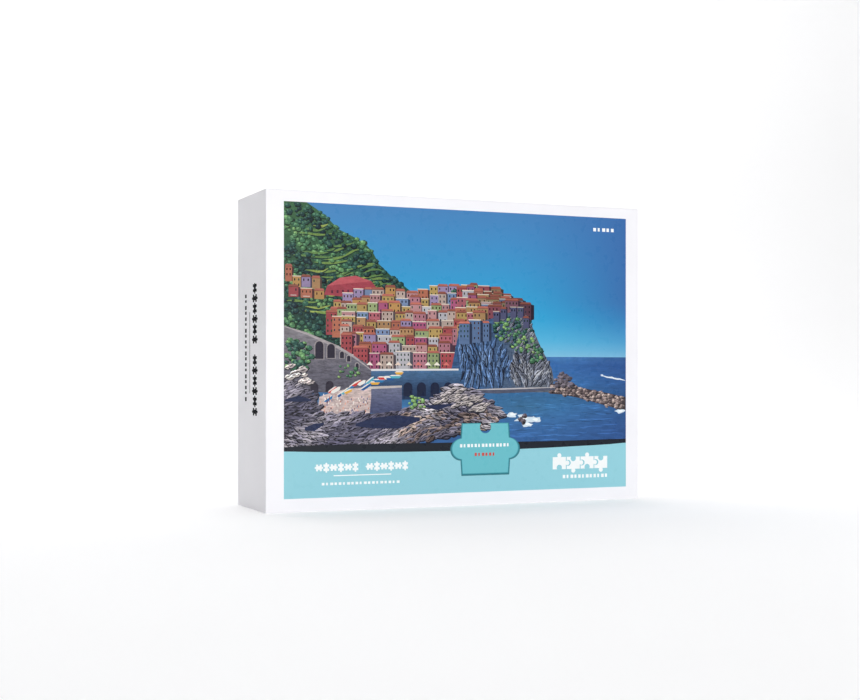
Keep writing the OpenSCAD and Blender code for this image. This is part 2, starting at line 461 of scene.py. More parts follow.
# The village's roofs and its lowest ground, from left to right.
SKYLINE = [(34, 116), (42, 122), (54, 131), (76, 134), (94, 132), (116, 136), (127, 138), (150, 134),
           (160, 131), (167, 126), (174, 117)]
STREET = [(34, 105), (46, 98), (58, 89), (66, 85.5), (119, 85.5), (124, 98), (131, 108), (146, 113),
          (160, 118), (174, 115)]
# Walls in no order, and leaves and stone from dark to light.
WALLS = [(234, 128, 82), (228, 112, 116), (218, 96, 136), (238, 194, 96), (226, 166, 96),
         (208, 76, 72), (240, 208, 182), (238, 232, 230), (194, 166, 208), (146, 174, 214),
         (238, 166, 158), (190, 210, 128), (228, 142, 150), (242, 176, 84)]
FOLIAGE = [(20, 42, 52), (34, 68, 66), (56, 100, 78), (92, 136, 88), (142, 172, 104)]
STONE = [(50, 48, 60), (84, 80, 90), (122, 116, 122), (164, 156, 156), (208, 200, 194)]
BAY, STOREY = 2.5, 3.1       # the width and the height of wall that a house has for each window
WINDOW_W, WINDOW_H = 0.92, 1.5
SURROUND_W, SURROUND_H = 1.24, 1.75


def from_dark(colours, tone):
    """The colour at tone on a list from dark to light, where its colours are 0, 1, 2 and so on."""
    return along(list(enumerate(colours)), tone)


def sky_colour(u, v):
    """Pale at the horizon, and deeper towards the top and the right."""
    height = (v - HORIZON) / (TOP - HORIZON)
    colour = along([
        (0.0, (132, 196, 226)), (0.1, (92, 186, 224)), (0.28, (54, 168, 216)),
        (0.5, (58, 156, 208)), (0.75, (68, 144, 200)), (1.0, (76, 134, 190)),
    ], height)
    edge = max(0.0, (u - 150) / (RIGHT - 150)) ** 1.6
    return mixed(colour, (64, 108, 170), edge * (0.15 + 0.75 * min(1.0, 2.5 * height)))


def sea_colour(u, v):
    """Bands of blue, greener in the shallow bay and deeper towards the right."""
    colour = along([
        (30, (52, 90, 146)), (48, (60, 104, 158)), (60, (64, 118, 170)), (66, (58, 106, 150)),
        (72, (60, 108, 158)), (76, (64, 116, 174)), (88, (58, 104, 166)), (HORIZON, (74, 124, 180)),
    ], v)
    shallow = max(0.0, 1 - math.hypot((u - 168) / 26, (v - 60) / 9))
    deep = max(0.0, (u - 195) / (RIGHT - 195))
    return mixed(mixed(colour, (62, 102, 128), 0.5 * shallow), (44, 68, 124), 0.5 * deep)


def add_tree(art, rng, u, v, size, tone):
    """A crown of leaves: its dark underside, its body and a patch of light on the upper left."""
    colour = from_dark(FOLIAGE, tone)
    art.add(blob(rng, u + 0.15 * size, v - 0.2 * size, size, 8), shaded(colour, 0.42), foliage=0.8)
    art.add(blob(rng, u, v, 0.85 * size, 8), colour, foliage=1)
    art.add(blob(rng, u - 0.25 * size, v + 0.25 * size, 0.42 * size, 6),
            mixed(shaded(colour, 1.3), (186, 196, 134), 0.18), foliage=1)


def add_rock(art, rng, u, v, size, tone, tint=(132, 120, 116), flat=0.62):
    """A boulder with a lit facet to the upper left and a shaded one to the lower right."""
    outline = blob(rng, u, v, size, 9, flat, 0.3)
    colour = mixed(from_dark(STONE, tone), tint, 0.3)
    middle = (u + 0.2 * size * (rng.random() - 0.5), v + 0.2 * size * (rng.random() - 0.3))
    art.add(outline, colour, rock=0.8)

    def facet(first, last, brightness):
        """Shades the part of the boulder between two angles about its centre."""
        turned = sorted((math.atan2(p[1] - v, p[0] - u) % math.tau, p) for p in outline)
        fan = [p for angle, p in turned if first < angle < last]
        if len(fan) > 1:
            art.add([middle, *fan], shaded(colour, brightness), rock=0.8)

    facet(0.9, 3.4, 1.3 + 0.25 * rng.random())
    facet(4.2, math.tau, 0.45 + 0.2 * rng.random())


def add_ledge(art, rng, u, v, length, thick, tilt, tone, tint, tinge=0.35):
    """A slab of layered rock: shadow under it, its face, a lit upper edge and a few dark cracks."""
    steps = 6
    colour = mixed(from_dark(STONE, tone), tint, tinge)
    swell = [math.sin(math.pi * k / steps) ** 0.6 for k in range(steps + 1)]
    upper = [(length * (k / steps - 0.5), thick * (0.5 * swell[k] + 0.25 * (rng.random() - 0.5)))
             for k in range(steps + 1)]
    lower = [(x + 0.1 * thick, -thick * (0.5 * swell[k] + 0.25 * (rng.random() - 0.5)))
             for k, (x, _) in enumerate(upper)]
    ridge = [(x, y - thick * (0.16 + 0.3 * rng.random()) * swell[k])
             for k, (x, y) in enumerate(upper)]

    def lay(outline, paint):
        art.add(moved(outline, u, v, tilt), paint, rock=1)

    dropped = [(x, y - 0.35 * thick) for x, y in lower]
    lay(dropped + upper[::-1], shaded(mixed(colour, (40, 42, 66), 0.6), 0.55))
    lay(lower + upper[::-1], colour)
    lay(ridge + upper[::-1], shaded(colour, 1.22 + 0.3 * rng.random()))
    for _ in range(2):
        x = length * 0.6 * (rng.random() - 0.5)
        y = thick * 0.4 * (rng.random() - 0.5)
        reach = length * (0.12 + 0.16 * rng.random())
        crack = ribbon([(x - reach, y), (x, y + 0.1 * thick), (x + reach, y)], 0.3 * thick, 0.5, rng)
        lay(crack, shaded(colour, 0.42))


def add_house(art, rng, u, v, width, height, wall, light=1.0):
    """A tall narrow house seen from the sea: front, shaded flank, roof and shuttered windows."""
    front = shaded(mixed(wall, (112, 118, 154), 0.24), 0.9 * light)
    flank = width * (0.16 + 0.14 * rng.random())
    eaves = v + height
    art.rectangle(u, v, width, height, front, rock=0.25)
    art.add([
        (u + width, v), (u + width + flank, v + 0.6), (u + width + flank, eaves - 0.5),
        (u + width, eaves),
    ], mixed(shaded(front, 0.48), (56, 56, 100), 0.2), rock=0.25)
    if rng.random() < 0.6:
        tiles = shaded((184, 108, 94), light * (0.8 + 0.3 * rng.random()))
        art.add([
            (u - 0.4, eaves), (u + width + 0.3, eaves), (u + width - 0.5, eaves + 1.3),
            (u + 0.5, eaves + 1.3),
        ], tiles, rock=0.4)
        art.rectangle(u - 0.4, eaves - 0.25, width + 0.7, 0.25, shaded(tiles, 0.5))
    else:
        art.rectangle(u - 0.2, eaves, width + 0.4, 0.5, shaded((240, 226, 208), light))
    columns = max(1, round(width / BAY))
    storeys = max(1, int((height - 0.8) / STOREY))
    shutter = rng.choice([(54, 84, 68), (88, 58, 46), (60, 70, 92), (46, 42, 56)])
    for storey in range(storeys):
        for column in range(columns):
            if rng.random() < 0.1:
                continue
            cu = u + width * (column + 0.5) / columns
            cv = eaves - 2.5 - STOREY * storey
            art.rectangle(cu - SURROUND_W / 2, cv - 0.1, SURROUND_W, SURROUND_H, shaded(front, 1.18))
            art.rectangle(cu - WINDOW_W / 2, cv, WINDOW_W, WINDOW_H,
                          shaded(shutter, light * (0.45 + 0.5 * rng.random())))
    if rng.random() < 0.25:
        art.rectangle(u + 0.2 * width, v + 0.8, 0.6 * width, 0.35, shaded((236, 232, 226), light))


def draw_sky_and_sea(art, rng):
    art.rectangle(LEFT, HORIZON - 0.5, RIGHT - LEFT, TOP - HORIZON + 0.5, sky_colour)
    art.rectangle(LEFT, BOTTOM, RIGHT - LEFT, HORIZON - BOTTOM, sea_colour, water=1)
    for _ in range(240):
        v = HORIZON - 1 - 62 * rng.random() ** 0.8
        reach = (0.12 + 0.016 * (HORIZON - v)) * (6 + 10 * rng.random())
        u = 130 + (RIGHT - 0.3 - reach - 130) * rng.random()
        path = [(u + reach * k / 4, v + 0.25 * math.sin(k + u)) for k in range(5)]
        tone = 1.22 if rng.random() < 0.55 else 0.8
        art.add(ribbon(path, 0.1 + 0.011 * (HORIZON - v)),
                lambda a, b, tone=tone: shaded(sea_colour(a, b), tone), water=1)
    wake = [(226 + 2 * k, 80.4 - 0.32 * k + 0.2 * math.sin(2 * k)) for k in range(10)]
    art.add(ribbon(wake, 1.1, 0.4, rng), (226, 236, 244))
    art.add(blob(rng, 226.5, 80.8, 1.1, 7, 0.6), (212, 224, 236))


def draw_hillside(art, rng):
    """A steep slope of trees, with lit terraces across it and more trees standing on them."""
    ridge = [(LEFT, TOP), (25, TOP), (31, 179.5), (37, 175.5), (45, 168), (54, 164), (62, 160), (67, 155),
             (71, 148), (79, 141), (89, 134), (99, 127), (106, 118), (110, 100)]
    slope = [(LEFT, 84), (110, 84), *reversed(ridge[1:]), (LEFT, TOP - 0.01)]
    art.add(slope, lambda u, v: mixed((34, 62, 54), (60, 98, 66), (v - 110) / 60), foliage=1)

    def plant(step, smallest, brightest):
        for u, v in scattered(rng, slope, step):
            if v > 92:
                lit = 1.7 + 1.2 * math.sin(0.16 * u + 0.22 * v) + 1.5 * (rng.random() - 0.5)
                size = smallest + 1.4 * rng.random()
                add_tree(art, rng, u, v, size, min(max(lit, 0), brightest))

    plant(3.6, 1.0, 4)
    for k in range(22):
        v = 118 + 2.7 * k
        for _ in range(3):
            reach = 8 + 16 * rng.random()
            start = LEFT + 0.2 + 60 * rng.random()
            path = [
                (start + reach * i / 7, v + 1.2 * math.sin(0.1 * start + 0.5 * i) + 0.3 * i)
                for i in range(8)
            ]
            path = [p for p in path if inside(p[0], p[1] + 2, slope)]
            if len(path) > 3:
                green = rng.choice([(112, 140, 74), (146, 162, 84), (96, 130, 74)])
                art.add(ribbon([(p, q - 0.9) for p, q in path], 1.0, 0.5, rng), (30, 50, 50), foliage=0.6)
                art.add(ribbon(path, 1.3, 0.5, rng), green, foliage=0.9)
    plant(6.2, 0.9, 3)


def draw_upper_houses(art, rng):
    """The few houses among the terraces, and the long red roof over them."""
    for u, v, width, height in ((12, 136, 4, 9), (16.5, 132, 5, 7), (22, 133, 5.5, 6), (28.5, 132, 5, 6.5),
                                (14, 127, 6, 6), (21.5, 126.5, 7, 5.5), (30, 126, 6, 5)):
        add_house(art, rng, u, v, width, height, rng.choice(WALLS), 0.92)
    art.add([(36, 128.5), (62, 127), (70, 133), (66, 137.5), (56, 140.5), (46, 139), (38, 134)],
            (156, 66, 78), rock=0.5)
    art.add([(38, 134), (66, 137.5), (56, 140.5), (46, 139)], (184, 88, 96), rock=0.4)
    for k in range(7):
        art.rectangle(40.5 + 3.4 * k, 129.6 + 0.2 * k, 1.2, 1.8, (86, 40, 58))


def draw_village(art, rng):
    """Nine lanes of houses from the skyline down to the harbour, in shade towards the cliff."""
    lanes = 9
    for lane in range(lanes):
        share = lane / (lanes - 1)
        u = 34 + 12 * share + 9 * rng.random()
        while u < 167:
            width = (4.4 + 3.4 * rng.random()) * (1 + 0.3 * share)
            top, foot = level(SKYLINE, u + width / 2), level(STREET, u + width / 2)
            eaves = top + (foot + 9 - top) * share + 2.5 * (rng.random() - 0.5)
            if eaves > foot + 3:
                height = 10 + 3.5 * rng.random()
                shade = 0.98 - 0.26 * max(0, (u - 128) / 42) - 0.08 * rng.random()
                wall = mixed(rng.choice(WALLS), (104, 114, 150), 0.5 * max(0, (u - 120) / 50))
                add_house(art, rng, u, eaves - height, width, height, wall, shade)
            u += width * (0.98 + 0.25 * rng.random())
        for _ in range(6):
            at = 40 + 126 * rng.random()
            v = level(SKYLINE, at) + (level(STREET, at) - level(SKYLINE, at)) * share
            add_tree(art, rng, at, v - 4, 1 + 0.8 * rng.random(), 0.6 + 2 * rng.random())


def draw_headland(art, rng):
    """The cliff: blue in its own shade on the left, grey in the sun on the right, scrub above."""
    cliff = [(114, 70), (190, 70), (191, 78), (189.5, 85), (186, 91), (182, 98), (178, 106), (174.5, 114),
             (167, 121), (158, 120), (146, 116), (134, 113), (125, 112), (122, 98), (119, 84)]
    art.add(cliff, lambda u, v: mixed((58, 88, 128), (98, 104, 116), (u - 140) / 38), rock=1)
    for k in range(44):
        u = 122 + 46 * rng.random()
        high = level([(120, 88), (125, 110), (140, 112), (152, 104), (172, 96)], u)
        path = [(u + 2.5 * math.sin(0.7 * i + k) + 0.5 * i, high - (high - 74) * i / 5) for i in range(6)]
        tone = rng.choice([(48, 70, 108), (84, 116, 156), (62, 88, 128), (100, 126, 158), (40, 56, 88)])
        art.add(ribbon(path, 1.2 + 1.6 * rng.random(), 0.6, rng), tone, rock=1)
    shaded_side = [(121, 75), (160, 75), (160, 92), (150, 100), (134, 104), (125, 104)]
    for u, v in scattered(rng, shaded_side, 4.2):
        tilt = 1.45 + 0.35 * math.sin(0.13 * u + 0.1 * v)
        add_ledge(art, rng, u, v, 5 + 7 * rng.random(), 1.2 + 1.6 * rng.random(), tilt,
                  0.4 + 2.4 * rng.random(), (64, 108, 164), 0.62)
    lit_side = [(160, 75), (189, 75), (188, 84), (184, 92), (178, 98), (166, 97), (160, 88)]
    for u, v in scattered(rng, lit_side, 2.6):
        tilt = 1.25 + 0.5 * math.sin(0.2 * u) + 0.3 * rng.random()
        add_ledge(art, rng, u, v, 4 + 4 * rng.random(), 1.3 + 1.2 * rng.random(), tilt,
                  0.5 + 3 * rng.random(), (104, 122, 142), 0.4)
    art.add(ribbon([(161, 97), (160, 89), (160.8, 81), (160, 75)], 3.0, 0.5, rng), (34, 42, 66), rock=0.8)
    for u, v, width, height in ((138.5, 102, 6.5, 11.5), (131, 101, 8, 14), (124.5, 100, 7, 13)):
        add_house(art, rng, u, v, width, height, (88, 118, 156), 1.06)
    scrub = [(147, 112), (151, 103), (162, 98), (172, 90), (184, 88), (182, 98), (178, 106), (174, 114),
             (166, 121), (156, 119)]
    for u, v in scattered(rng, scrub, 2.5):
        if rng.random() < 0.3:
            add_ledge(art, rng, u, v, 3 + 2 * rng.random(), 1.2, 0.9, 0.6 + 2.4 * rng.random(),
                      (96, 116, 142))
        else:
            add_tree(art, rng, u, v, 0.9 + 1.1 * rng.random(), 0.4 + 3.4 * rng.random())
    for u, v in ((165, 120), (169, 113.5), (160, 120), (153, 119), (148, 117)):
        add_house(art, rng, u, v - 3, 4, 6.5, (112, 114, 158), 0.8)


def add_arch(art, u, v, width, height, colour):
    """A round-headed opening, from its lower left corner."""
    radius = width / 2
    head = arc(u + radius, v + height - radius, radius, 0, 180, 8)
    art.add([(u, v), (u + width, v), *head], colour, rock=0.4)


def draw_harbour(art, rng):
    """A wall with arches, the slip with its boats and specks of colour, the quay behind them
    and the sunshades."""
    wall = [(LEFT, 72), (46, 70), (60, 74), (68, 82), (63, 88), (54, 93), (45, 98), (25, 106), (LEFT, 110)]
    art.add(wall, lambda u, v: mixed((94, 92, 104), (128, 124, 130), (v - 80) / 26), rock=1)
    coping = [(LEFT + 0.3, 109.5), (25, 105.5), (45, 97.5), (54, 92.5), (66, 84)]
    art.add(ribbon(coping, 1.8, 0.3, rng), (168, 160, 162), rock=0.6)
    for u, v, width, height in ((30.5, 90.5, 5.2, 10.5), (38, 91, 4.8, 8.5), (46, 91, 2.6, 4),
                                (50.5, 89, 2.2, 3.6), (56, 85, 2, 3)):
        add_arch(art, u - 0.5, v - 0.3, width + 1, height + 0.9, (158, 150, 152))
        add_arch(art, u, v, width, height, (46, 42, 56))
    for u, v in ((27.5, 70), (37, 71)):
        add_arch(art, u, v, 5, 6.5, (52, 48, 60))
    for u, v in scattered(rng, [(LEFT, 84), (24, 84), (27, 92), (24, 101), (LEFT, 104)], 3.0):
        add_tree(art, rng, u + 1.5, v, 1.4 + 1.2 * rng.random(), 0.8 + 2.4 * rng.random())
    for u, v in scattered(rng, [(42, 78), (58, 78), (58, 86), (46, 88)], 3.6):
        add_tree(art, rng, u, v, 0.9 + 0.8 * rng.random(), 2 + 2 * rng.random())
    for u, v in scattered(rng, [(LEFT, 76), (26, 76), (22, 86), (LEFT, 88)], 3.4):
        add_ledge(art, rng, u + 2, v, 4 + 2 * rng.random(), 2.2, 0.3, 2.4 + 1.6 * rng.random(),
                  (186, 172, 168))

    quay_wall = [(66, 66), (124, 66), (126, 84), (66, 84)]
    art.add(quay_wall, lambda u, v: mixed((40, 58, 88), (76, 112, 150), (v - 70) / 14), rock=0.6)
    for k in range(4):
        add_arch(art, 87 + 9 * k, 68, 6, 8.5, (30, 38, 62))
    art.add([(66, 83.4), (124, 83.8), (124, 84.9), (66, 84.6)], (220, 220, 222))
    for k in range(9):
        u = 62 + 6.4 * k + rng.random()
        shade = rng.choice([(240, 232, 220), (228, 206, 190), (214, 120, 110)])
        art.add([(u, 87), (u + 4.4, 86.8), (u + 2.2, 89)], shade)
        art.rectangle(u + 2, 84.8, 0.3, 2.2, (70, 60, 70))

    pier = [(64, 58), (86, 58), (86, 74), (64, 72)]
    art.add(pier, lambda u, v: mixed((74, 80, 112), (112, 116, 140), (v - 60) / 14), rock=0.8)
    slip = [(32, 57), (50, 57.5), (65, 57.5), (66, 68), (66, 74), (50, 72.5), (42, 71), (33, 68)]
    art.add(slip, (200, 180, 176), rock=1)
    art.add([(64, 72.4), (86, 73.4), (86, 74.6), (64, 74)], (198, 188, 184), rock=0.4)
    hulls = [(44, 120, 176), (206, 62, 60), (232, 230, 226), (36, 88, 150), (84, 170, 190), (226, 172, 70)]
    for k in range(18):
        u = 38 + 2.7 * k + rng.random()
        v = 66 + 0.26 * (u - 38) + 5 * rng.random()
        reach = 2.4 + 1.8 * rng.random()
        tilt = 0.35 + 0.3 * rng.random() if u < 66 else 0
        hull = [(-reach, 0.8), (-0.6 * reach, -0.6), (0.6 * reach, -0.6), (reach, 0.8)]
        deck = [hull[0], hull[3], (0.6 * reach, 1.5), (-0.6 * reach, 1.5)]
        art.add(moved(hull, u, v, tilt), hulls[k % len(hulls)])
        art.add(moved(deck, u, v, tilt), (236, 228, 220))
    specks = [(196, 120, 96), (226, 170, 150), (120, 60, 60), (70, 80, 130), (244, 238, 232)]
    for _ in range(90):
        u, v = 33 + 32 * rng.random(), 58 + 11 * rng.random()
        art.rectangle(u, v, 0.5, 1.1, rng.choice(specks))


def draw_shore(art, rng):
    """The breakwater, the rocks in front of the harbour and the surf round the reef."""
    mole = [(188, 69), (197, 68.5), (208, 66.5), (220, 63.5), (232, 60.5), (RIGHT - 0.2, 57.5),
            (RIGHT - 0.2, 66.5), (232, 69), (220, 71), (208, 73.5), (198, 76), (188, 75)]
    art.add(mole, (70, 62, 66), rock=1)
    for u, v in scattered(rng, mole, 2.3):
        if u < RIGHT - 2.5:
            add_rock(art, rng, u, v, 1.0 + 0.9 * rng.random(), 0.3 + 2.8 * rng.random(), (150, 116, 92))
    for u, v in scattered(rng, [(190, 73), (206, 73), (203, 80), (198, 82.5), (193, 79)], 2.4):
        add_rock(art, rng, u, v, 1.6 + rng.random(), 0.3 + 1.2 * rng.random(), (90, 80, 84))
    quay = [(128, 70.5), (150, 71), (172, 71.5), (192, 72)]
    art.add(ribbon(quay, 3.4, 0.2, rng), (84, 88, 106), rock=0.6)
    art.add(ribbon([(u, v + 1.1) for u, v in quay], 0.9, 0.2, rng), (190, 186, 190), rock=0.3)
    shore = [(LEFT, BOTTOM), (70, BOTTOM), (94, 39), (126, 45), (142, 48), (157, 55), (147, 64), (132, 72.5),
             (121, 75), (112, 70.5), (105, 66), (86, 59), (62, 57.5), (34, 58), (31, 68), (24, 74),
             (LEFT, 78)]
    art.add(shore, (76, 72, 84), rock=1)
    for u, v in scattered(rng, shore, 2.9):
        warm = v < 58 and u > 86 and rng.random() < 0.45
        tint = (168, 132, 104) if warm else (112, 110, 132)
        tilt = 0.12 + 0.4 * math.sin(0.045 * u + 0.09 * v) + 0.25 * (rng.random() - 0.5)
        tone = 1.2 + 1.3 * math.sin(0.11 * u - 0.17 * v) + 2.2 * (rng.random() - 0.5) + 0.6 * (u > 100)
        add_ledge(art, rng, u, v, 4.5 + 6 * rng.random(), 1.4 + 1.9 * rng.random(), tilt,
                  min(max(tone, 0), 4), tint)
    for path, width in (([(56, 51), (68, 52), (84, 52.5), (98, 54)], 8), ([(24, 49), (30, 50), (36, 52)], 6),
                        ([(12, 66), (20, 67), (28, 66)], 4), ([(100, 62), (110, 61), (120, 63)], 3.4)):
        art.add(ribbon(path, width, 0.5, rng), (42, 50, 80), rock=0.8)
    for u, v in scattered(rng, [(90, 60), (103, 60), (104, 67), (92, 68)], 2.8):
        add_tree(art, rng, u, v, 1 + 0.8 * rng.random(), 3 + rng.random())
    for u, v in scattered(rng, [(108, 64), (138, 58), (146, 62), (132, 71), (120, 73.5)], 4.0):
        add_ledge(art, rng, u, v, 4 + 4 * rng.random(), 1.4 + 1.2 * rng.random(), 0.35,
                  2.2 + 1.6 * rng.random(), (168, 160, 156))
    for u, v, size in ((169, 53.5, 5.5), (177, 52.5, 4.0), (161, 56, 3.5), (172, 49.5, 3.4),
                       (240, 57.3, 3.4)):
        reach = min(size, (RIGHT - 0.5 - u) / 1.3)
        art.add(blob(rng, u, v, reach, 13, 0.42, 0.45), (214, 228, 238), water=0.4)
        art.add(blob(rng, u + 0.8, v + 0.3, 0.6 * reach, 9, 0.4, 0.4), (246, 250, 252))
    for u, v in ((167, 53), (170, 55), (169, 51.5)):
        add_rock(art, rng, u, v, 2.1, 0.8, (110, 92, 90), 0.9)


def coastal_village(seed=7):
    art, rng = Artwork((LEFT, PRINT_FOOT), (RIGHT, TOP)), random.Random(seed)
    for draw in (draw_sky_and_sea, draw_hillside, draw_upper_houses, draw_village, draw_headland,
                 draw_harbour, draw_shore):
        draw(art, rng)
    return art.cut(GRADIENT_STEP)


# ---------------------------------------------------------------------------
# What is printed on the box: the village, a teal band with a badge, and plain shapes where
# such a box has its wording.

TEAL, TEAL_INK, TEAL_EDGE = (152, 211, 223), (112, 194, 204), (72, 154, 168)
WHITE, RED, DARK, BLACK = (250, 253, 253), (208, 84, 74), (36, 40, 48), (26, 26, 30)
BAND_TOP = [(11, 36.1), (30, 35.4), (60, 34.8), (85, 34.2), (112, 34.0), (150, 34.0), (185, 34.6),
            (215, 35.4), (232, 36.0), (245, 36.8)]
STRIPE_TOP = [(11, 38.6), (30, 39.3), (60, 39.5), (100, 39.4), (165, 38.9), (200, 38.9), (245, 39.4)]
BADGE_AT, BADGE_W, BADGE_H = (142.5, 35.2), 32.0, 31.5
BADGE_TAB, BADGE_HOLLOW = 6.6, 4.0          # radii of its tabs and of the hollow in its top


def wave(stops, steps=36):
    """A band's upper edge, from the left of the print to the right."""
    return [
        (u, level(stops, u)) for u in (LEFT + (RIGHT - LEFT) * k / steps for k in range(steps + 1))
    ]


def bead_row(art, u, v, width, count, size, colour, gap_after=None, tall=1.1):
    """A row of small jigsaw shapes, with a wide space after one of them."""
    spaces = count - 1 + (gap_after is not None)
    for k in range(count):
        place = k + (gap_after is not None and k >= gap_after)
        ways = [(1, -1)[(k + side) % 2] for side in range(4)]
        outline = jigsaw_outline(0.78, 0.78, ways, knob=0.13, out=0.07, steps=5)
        middle = u + size / 2 + (width - size) * place / spaces
        art.add([(middle + size * x, v + size * tall * y) for x, y in outline], colour)


def dash_row(art, u, v, width, count, height, colour):
    """A row of small blocks of four lengths in turn."""
    pitch = width / count
    for k in range(count):
        share = (0.62, 0.45, 0.7, 0.55)[k % 4]
        art.rectangle(u + pitch * k, v - height / 2, pitch * share, height, colour)


def badge_outline():
    """A wide jigsaw piece with big flat tabs left and right and a hollow in its top edge."""
    half_w, half_h = BADGE_W / 2, BADGE_H / 2
    right = arc(half_w, 0, BADGE_TAB, -85, 85, 18, flat=1.12)
    hollow = arc(0, half_h - 2.2, BADGE_HOLLOW, 35, -215, 18)
    left = [(-u, v) for u, v in reversed(right)]
    return [(half_w, -half_h), *right, (half_w, half_h), *hollow, (-half_w, half_h), *left,
            (-half_w, -half_h)]


def teal_band():
    """The band along the foot of the print, with its badge and its rows of shapes."""
    art = Artwork((LEFT, BOTTOM), (RIGHT, TOP))
    floor = [(RIGHT, BOTTOM), (LEFT, BOTTOM)]
    art.add([*floor, *wave(STRIPE_TOP)], DARK)
    art.add([*floor, *wave(BAND_TOP)], TEAL)

    u, v = BADGE_AT
    badge = badge_outline()
    for grow, drop, colour in (
        (1.035, 0.5, shaded(TEAL_EDGE, 0.8)), (1.0, 0, TEAL_EDGE), (0.972, 0, TEAL_INK),
    ):
        art.add(moved(badge, u, v - drop, 0, grow), colour)
    dash_row(art, u - 17.5, v + 1.9, 35, 14, 2.0, WHITE)
    dash_row(art, u - 7.5, v - 3.7, 15, 6, 2.0, RED)

    bead_row(art, 30.5, 25.9, 60, 12, 4.6, WHITE, gap_after=6)
    art.rectangle(42, 20.7, 37, 0.6, WHITE)
    dash_row(art, 34.6, 16.2, 50.7, 19, 1.5, WHITE)
    for k in range(4):
        ways = (1 if k < 3 else 0, (1, -1)[k % 2], -1 if k else 0, (-1, 1)[k % 2])
        icon = jigsaw_outline(9.6, 7.8, ways, knob=1.5, out=1.0, slack=0.45, steps=10)
        art.add(moved(icon, 195 + 10.2 * k, 24.6), WHITE)
    dash_row(art, 197.5, 15.9, 34, 12, 2.2, WHITE)
    dash_row(art, 220, 175, 16.5, 5, 2.2, WHITE)
    return art.cut()


def side_label():
    """The rows of shapes along the side wall. Here u runs down the wall, and v towards the panel."""
    art = Artwork((0, -10), (80, 20))
    bead_row(art, 0, 12, 80, 12, 6.0, BLACK, gap_after=6, tall=1.7)
    art.rectangle(17, 1, 49, 0.8, BLACK)
    dash_row(art, 6, -7, 66, 19, 3.2, BLACK)
    return art.cut()


# ---------------------------------------------------------------------------
# Building meshes. Lengths are millimetres until a point is put in a mesh.

def put(name, mesh, body, slot, finishes, replaced=()):
    """Puts a finished mesh in the scene as a piece that rides on a body."""
    made = bpy.data.objects.new(name, mesh)
    bpy.context.collection.objects.link(made)
    for finish in finishes:
        mesh.materials.append(finish.material)
    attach(made, body)
    if replaced:
        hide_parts(*replaced)
    return made


def new_mesh(name, points, faces, smooth=None):
    """A mesh of points in millimetres. smooth says which faces shade smoothly."""
    mesh = bpy.data.meshes.new(name)
    mesh.from_pydata([Vector(p) * MM for p in points], [], faces)
    if smooth is not None:
        mesh.polygons.foreach_set("use_smooth", smooth)
    return mesh


def turned_out(mesh):
    """The same mesh with its faces turned to face outwards."""
    work = bmesh.new()
    work.from_mesh(mesh)
    bmesh.ops.recalc_face_normals(work, faces=work.faces)
    work.to_mesh(mesh)
    work.free()
    return mesh


def round_rectangle(half_w, half_h, radius, steps=4, sides=1):
    """Points round a rectangle with round corners. sides cuts its straight edges that finely."""
    ring = []
    for corner, (x, z) in enumerate(((1, -1), (1, 1), (-1, 1), (-1, -1))):
        for k in range(steps + 1):
            angle = math.pi / 2 * (corner - 1 + k / steps)
            ring.append((
                x * (half_w - radius) + radius * math.cos(angle),
                z * (half_h - radius) + radius * math.sin(angle),
            ))
    closed = []
    for k, (a, b) in enumerate(zip(ring, ring[1:] + ring[:1])):
        cuts = sides if k % (steps + 1) == steps else 1
        closed += [
            (a[0] + (b[0] - a[0]) * i / cuts, a[1] + (b[1] - a[1]) * i / cuts)
            for i in range(cuts)
        ]
    return closed


def lofted(name, rings, flat_bands=()):
    """A closed shell through rings of points, with its first and last ring filled. The bands
    after the rings named in flat_bands, and the two ends, shade flat."""
    count = len(rings[0])
    faces, smooth = [], []
    for i in range(len(rings) - 1):
        for k in range(count):
            j = (k + 1) % count
            faces.append((i * count + k, i * count + j, (i + 1) * count + j, (i + 1) * count + k))
            smooth.append(i not in flat_bands)
    faces += [tuple(range(count)), tuple(range((len(rings) - 1) * count, len(rings) * count))]
    smooth += [False, False]
    return turned_out(new_mesh(name, [p for ring in rings for p in ring], faces, smooth))


def case_paper(name, node):
    """The paper over one half of the box: panel, walls, rim and the strip turned in behind it.
    Its section is drawn as (inset from the outer wall, depth behind the panel)."""
    low, high = (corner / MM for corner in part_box(node))
    lid = low.y < -BOX_D / 2 + WRAP_T
    panel_y, inward = (low.y, 1) if lid else (high.y, -1)
    depth = high.y - low.y
    wall = BOARD_T + 2 * WRAP_T
    section = [
        *arc(FOLD_R, FOLD_R, FOLD_R, 270, 180),
        *arc(RIM_R, depth - RIM_R, RIM_R, 180, 90),
        *arc(wall - RIM_R, depth - RIM_R, RIM_R, 90, 0),
        (wall, depth - TURN_IN),
        (wall - WRAP_T, depth - TURN_IN),
        (wall - WRAP_T, depth - WRAP_T),
        (WRAP_T, depth - WRAP_T),
        (WRAP_T, WRAP_T),
    ]
    middle = (low.z + high.z) / 2
    rings = []
    for inset, back in section:
        half_w = (high.x - low.x) / 2 - inset
        half_h = (high.z - low.z) / 2 - inset
        outline = round_rectangle(half_w, half_h, max(FOLD_R - inset, 0.1))
        rings.append([(x, panel_y + inward * back, middle + z) for x, z in outline])
    flat = [i for i in range(len(section) - 1) if math.dist(section[i], section[i + 1]) > 1]
    return lofted(name, rings, flat)


def with_edge(mesh, thickness, direction):
    """An open printed layer, closed round its border down to the paper that it lies on."""
    work = bmesh.new()
    work.from_mesh(mesh)
    border = [edge for edge in work.edges if edge.is_boundary]
    made = bmesh.ops.extrude_edge_only(work, edges=border)["geom"]
    for corner in made:
        if isinstance(corner, bmesh.types.BMVert):
            corner.co += Vector(direction) * thickness * MM
    work.to_mesh(mesh)
    work.free()
    return mesh


# ---------------------------------------------------------------------------
# The box's materials

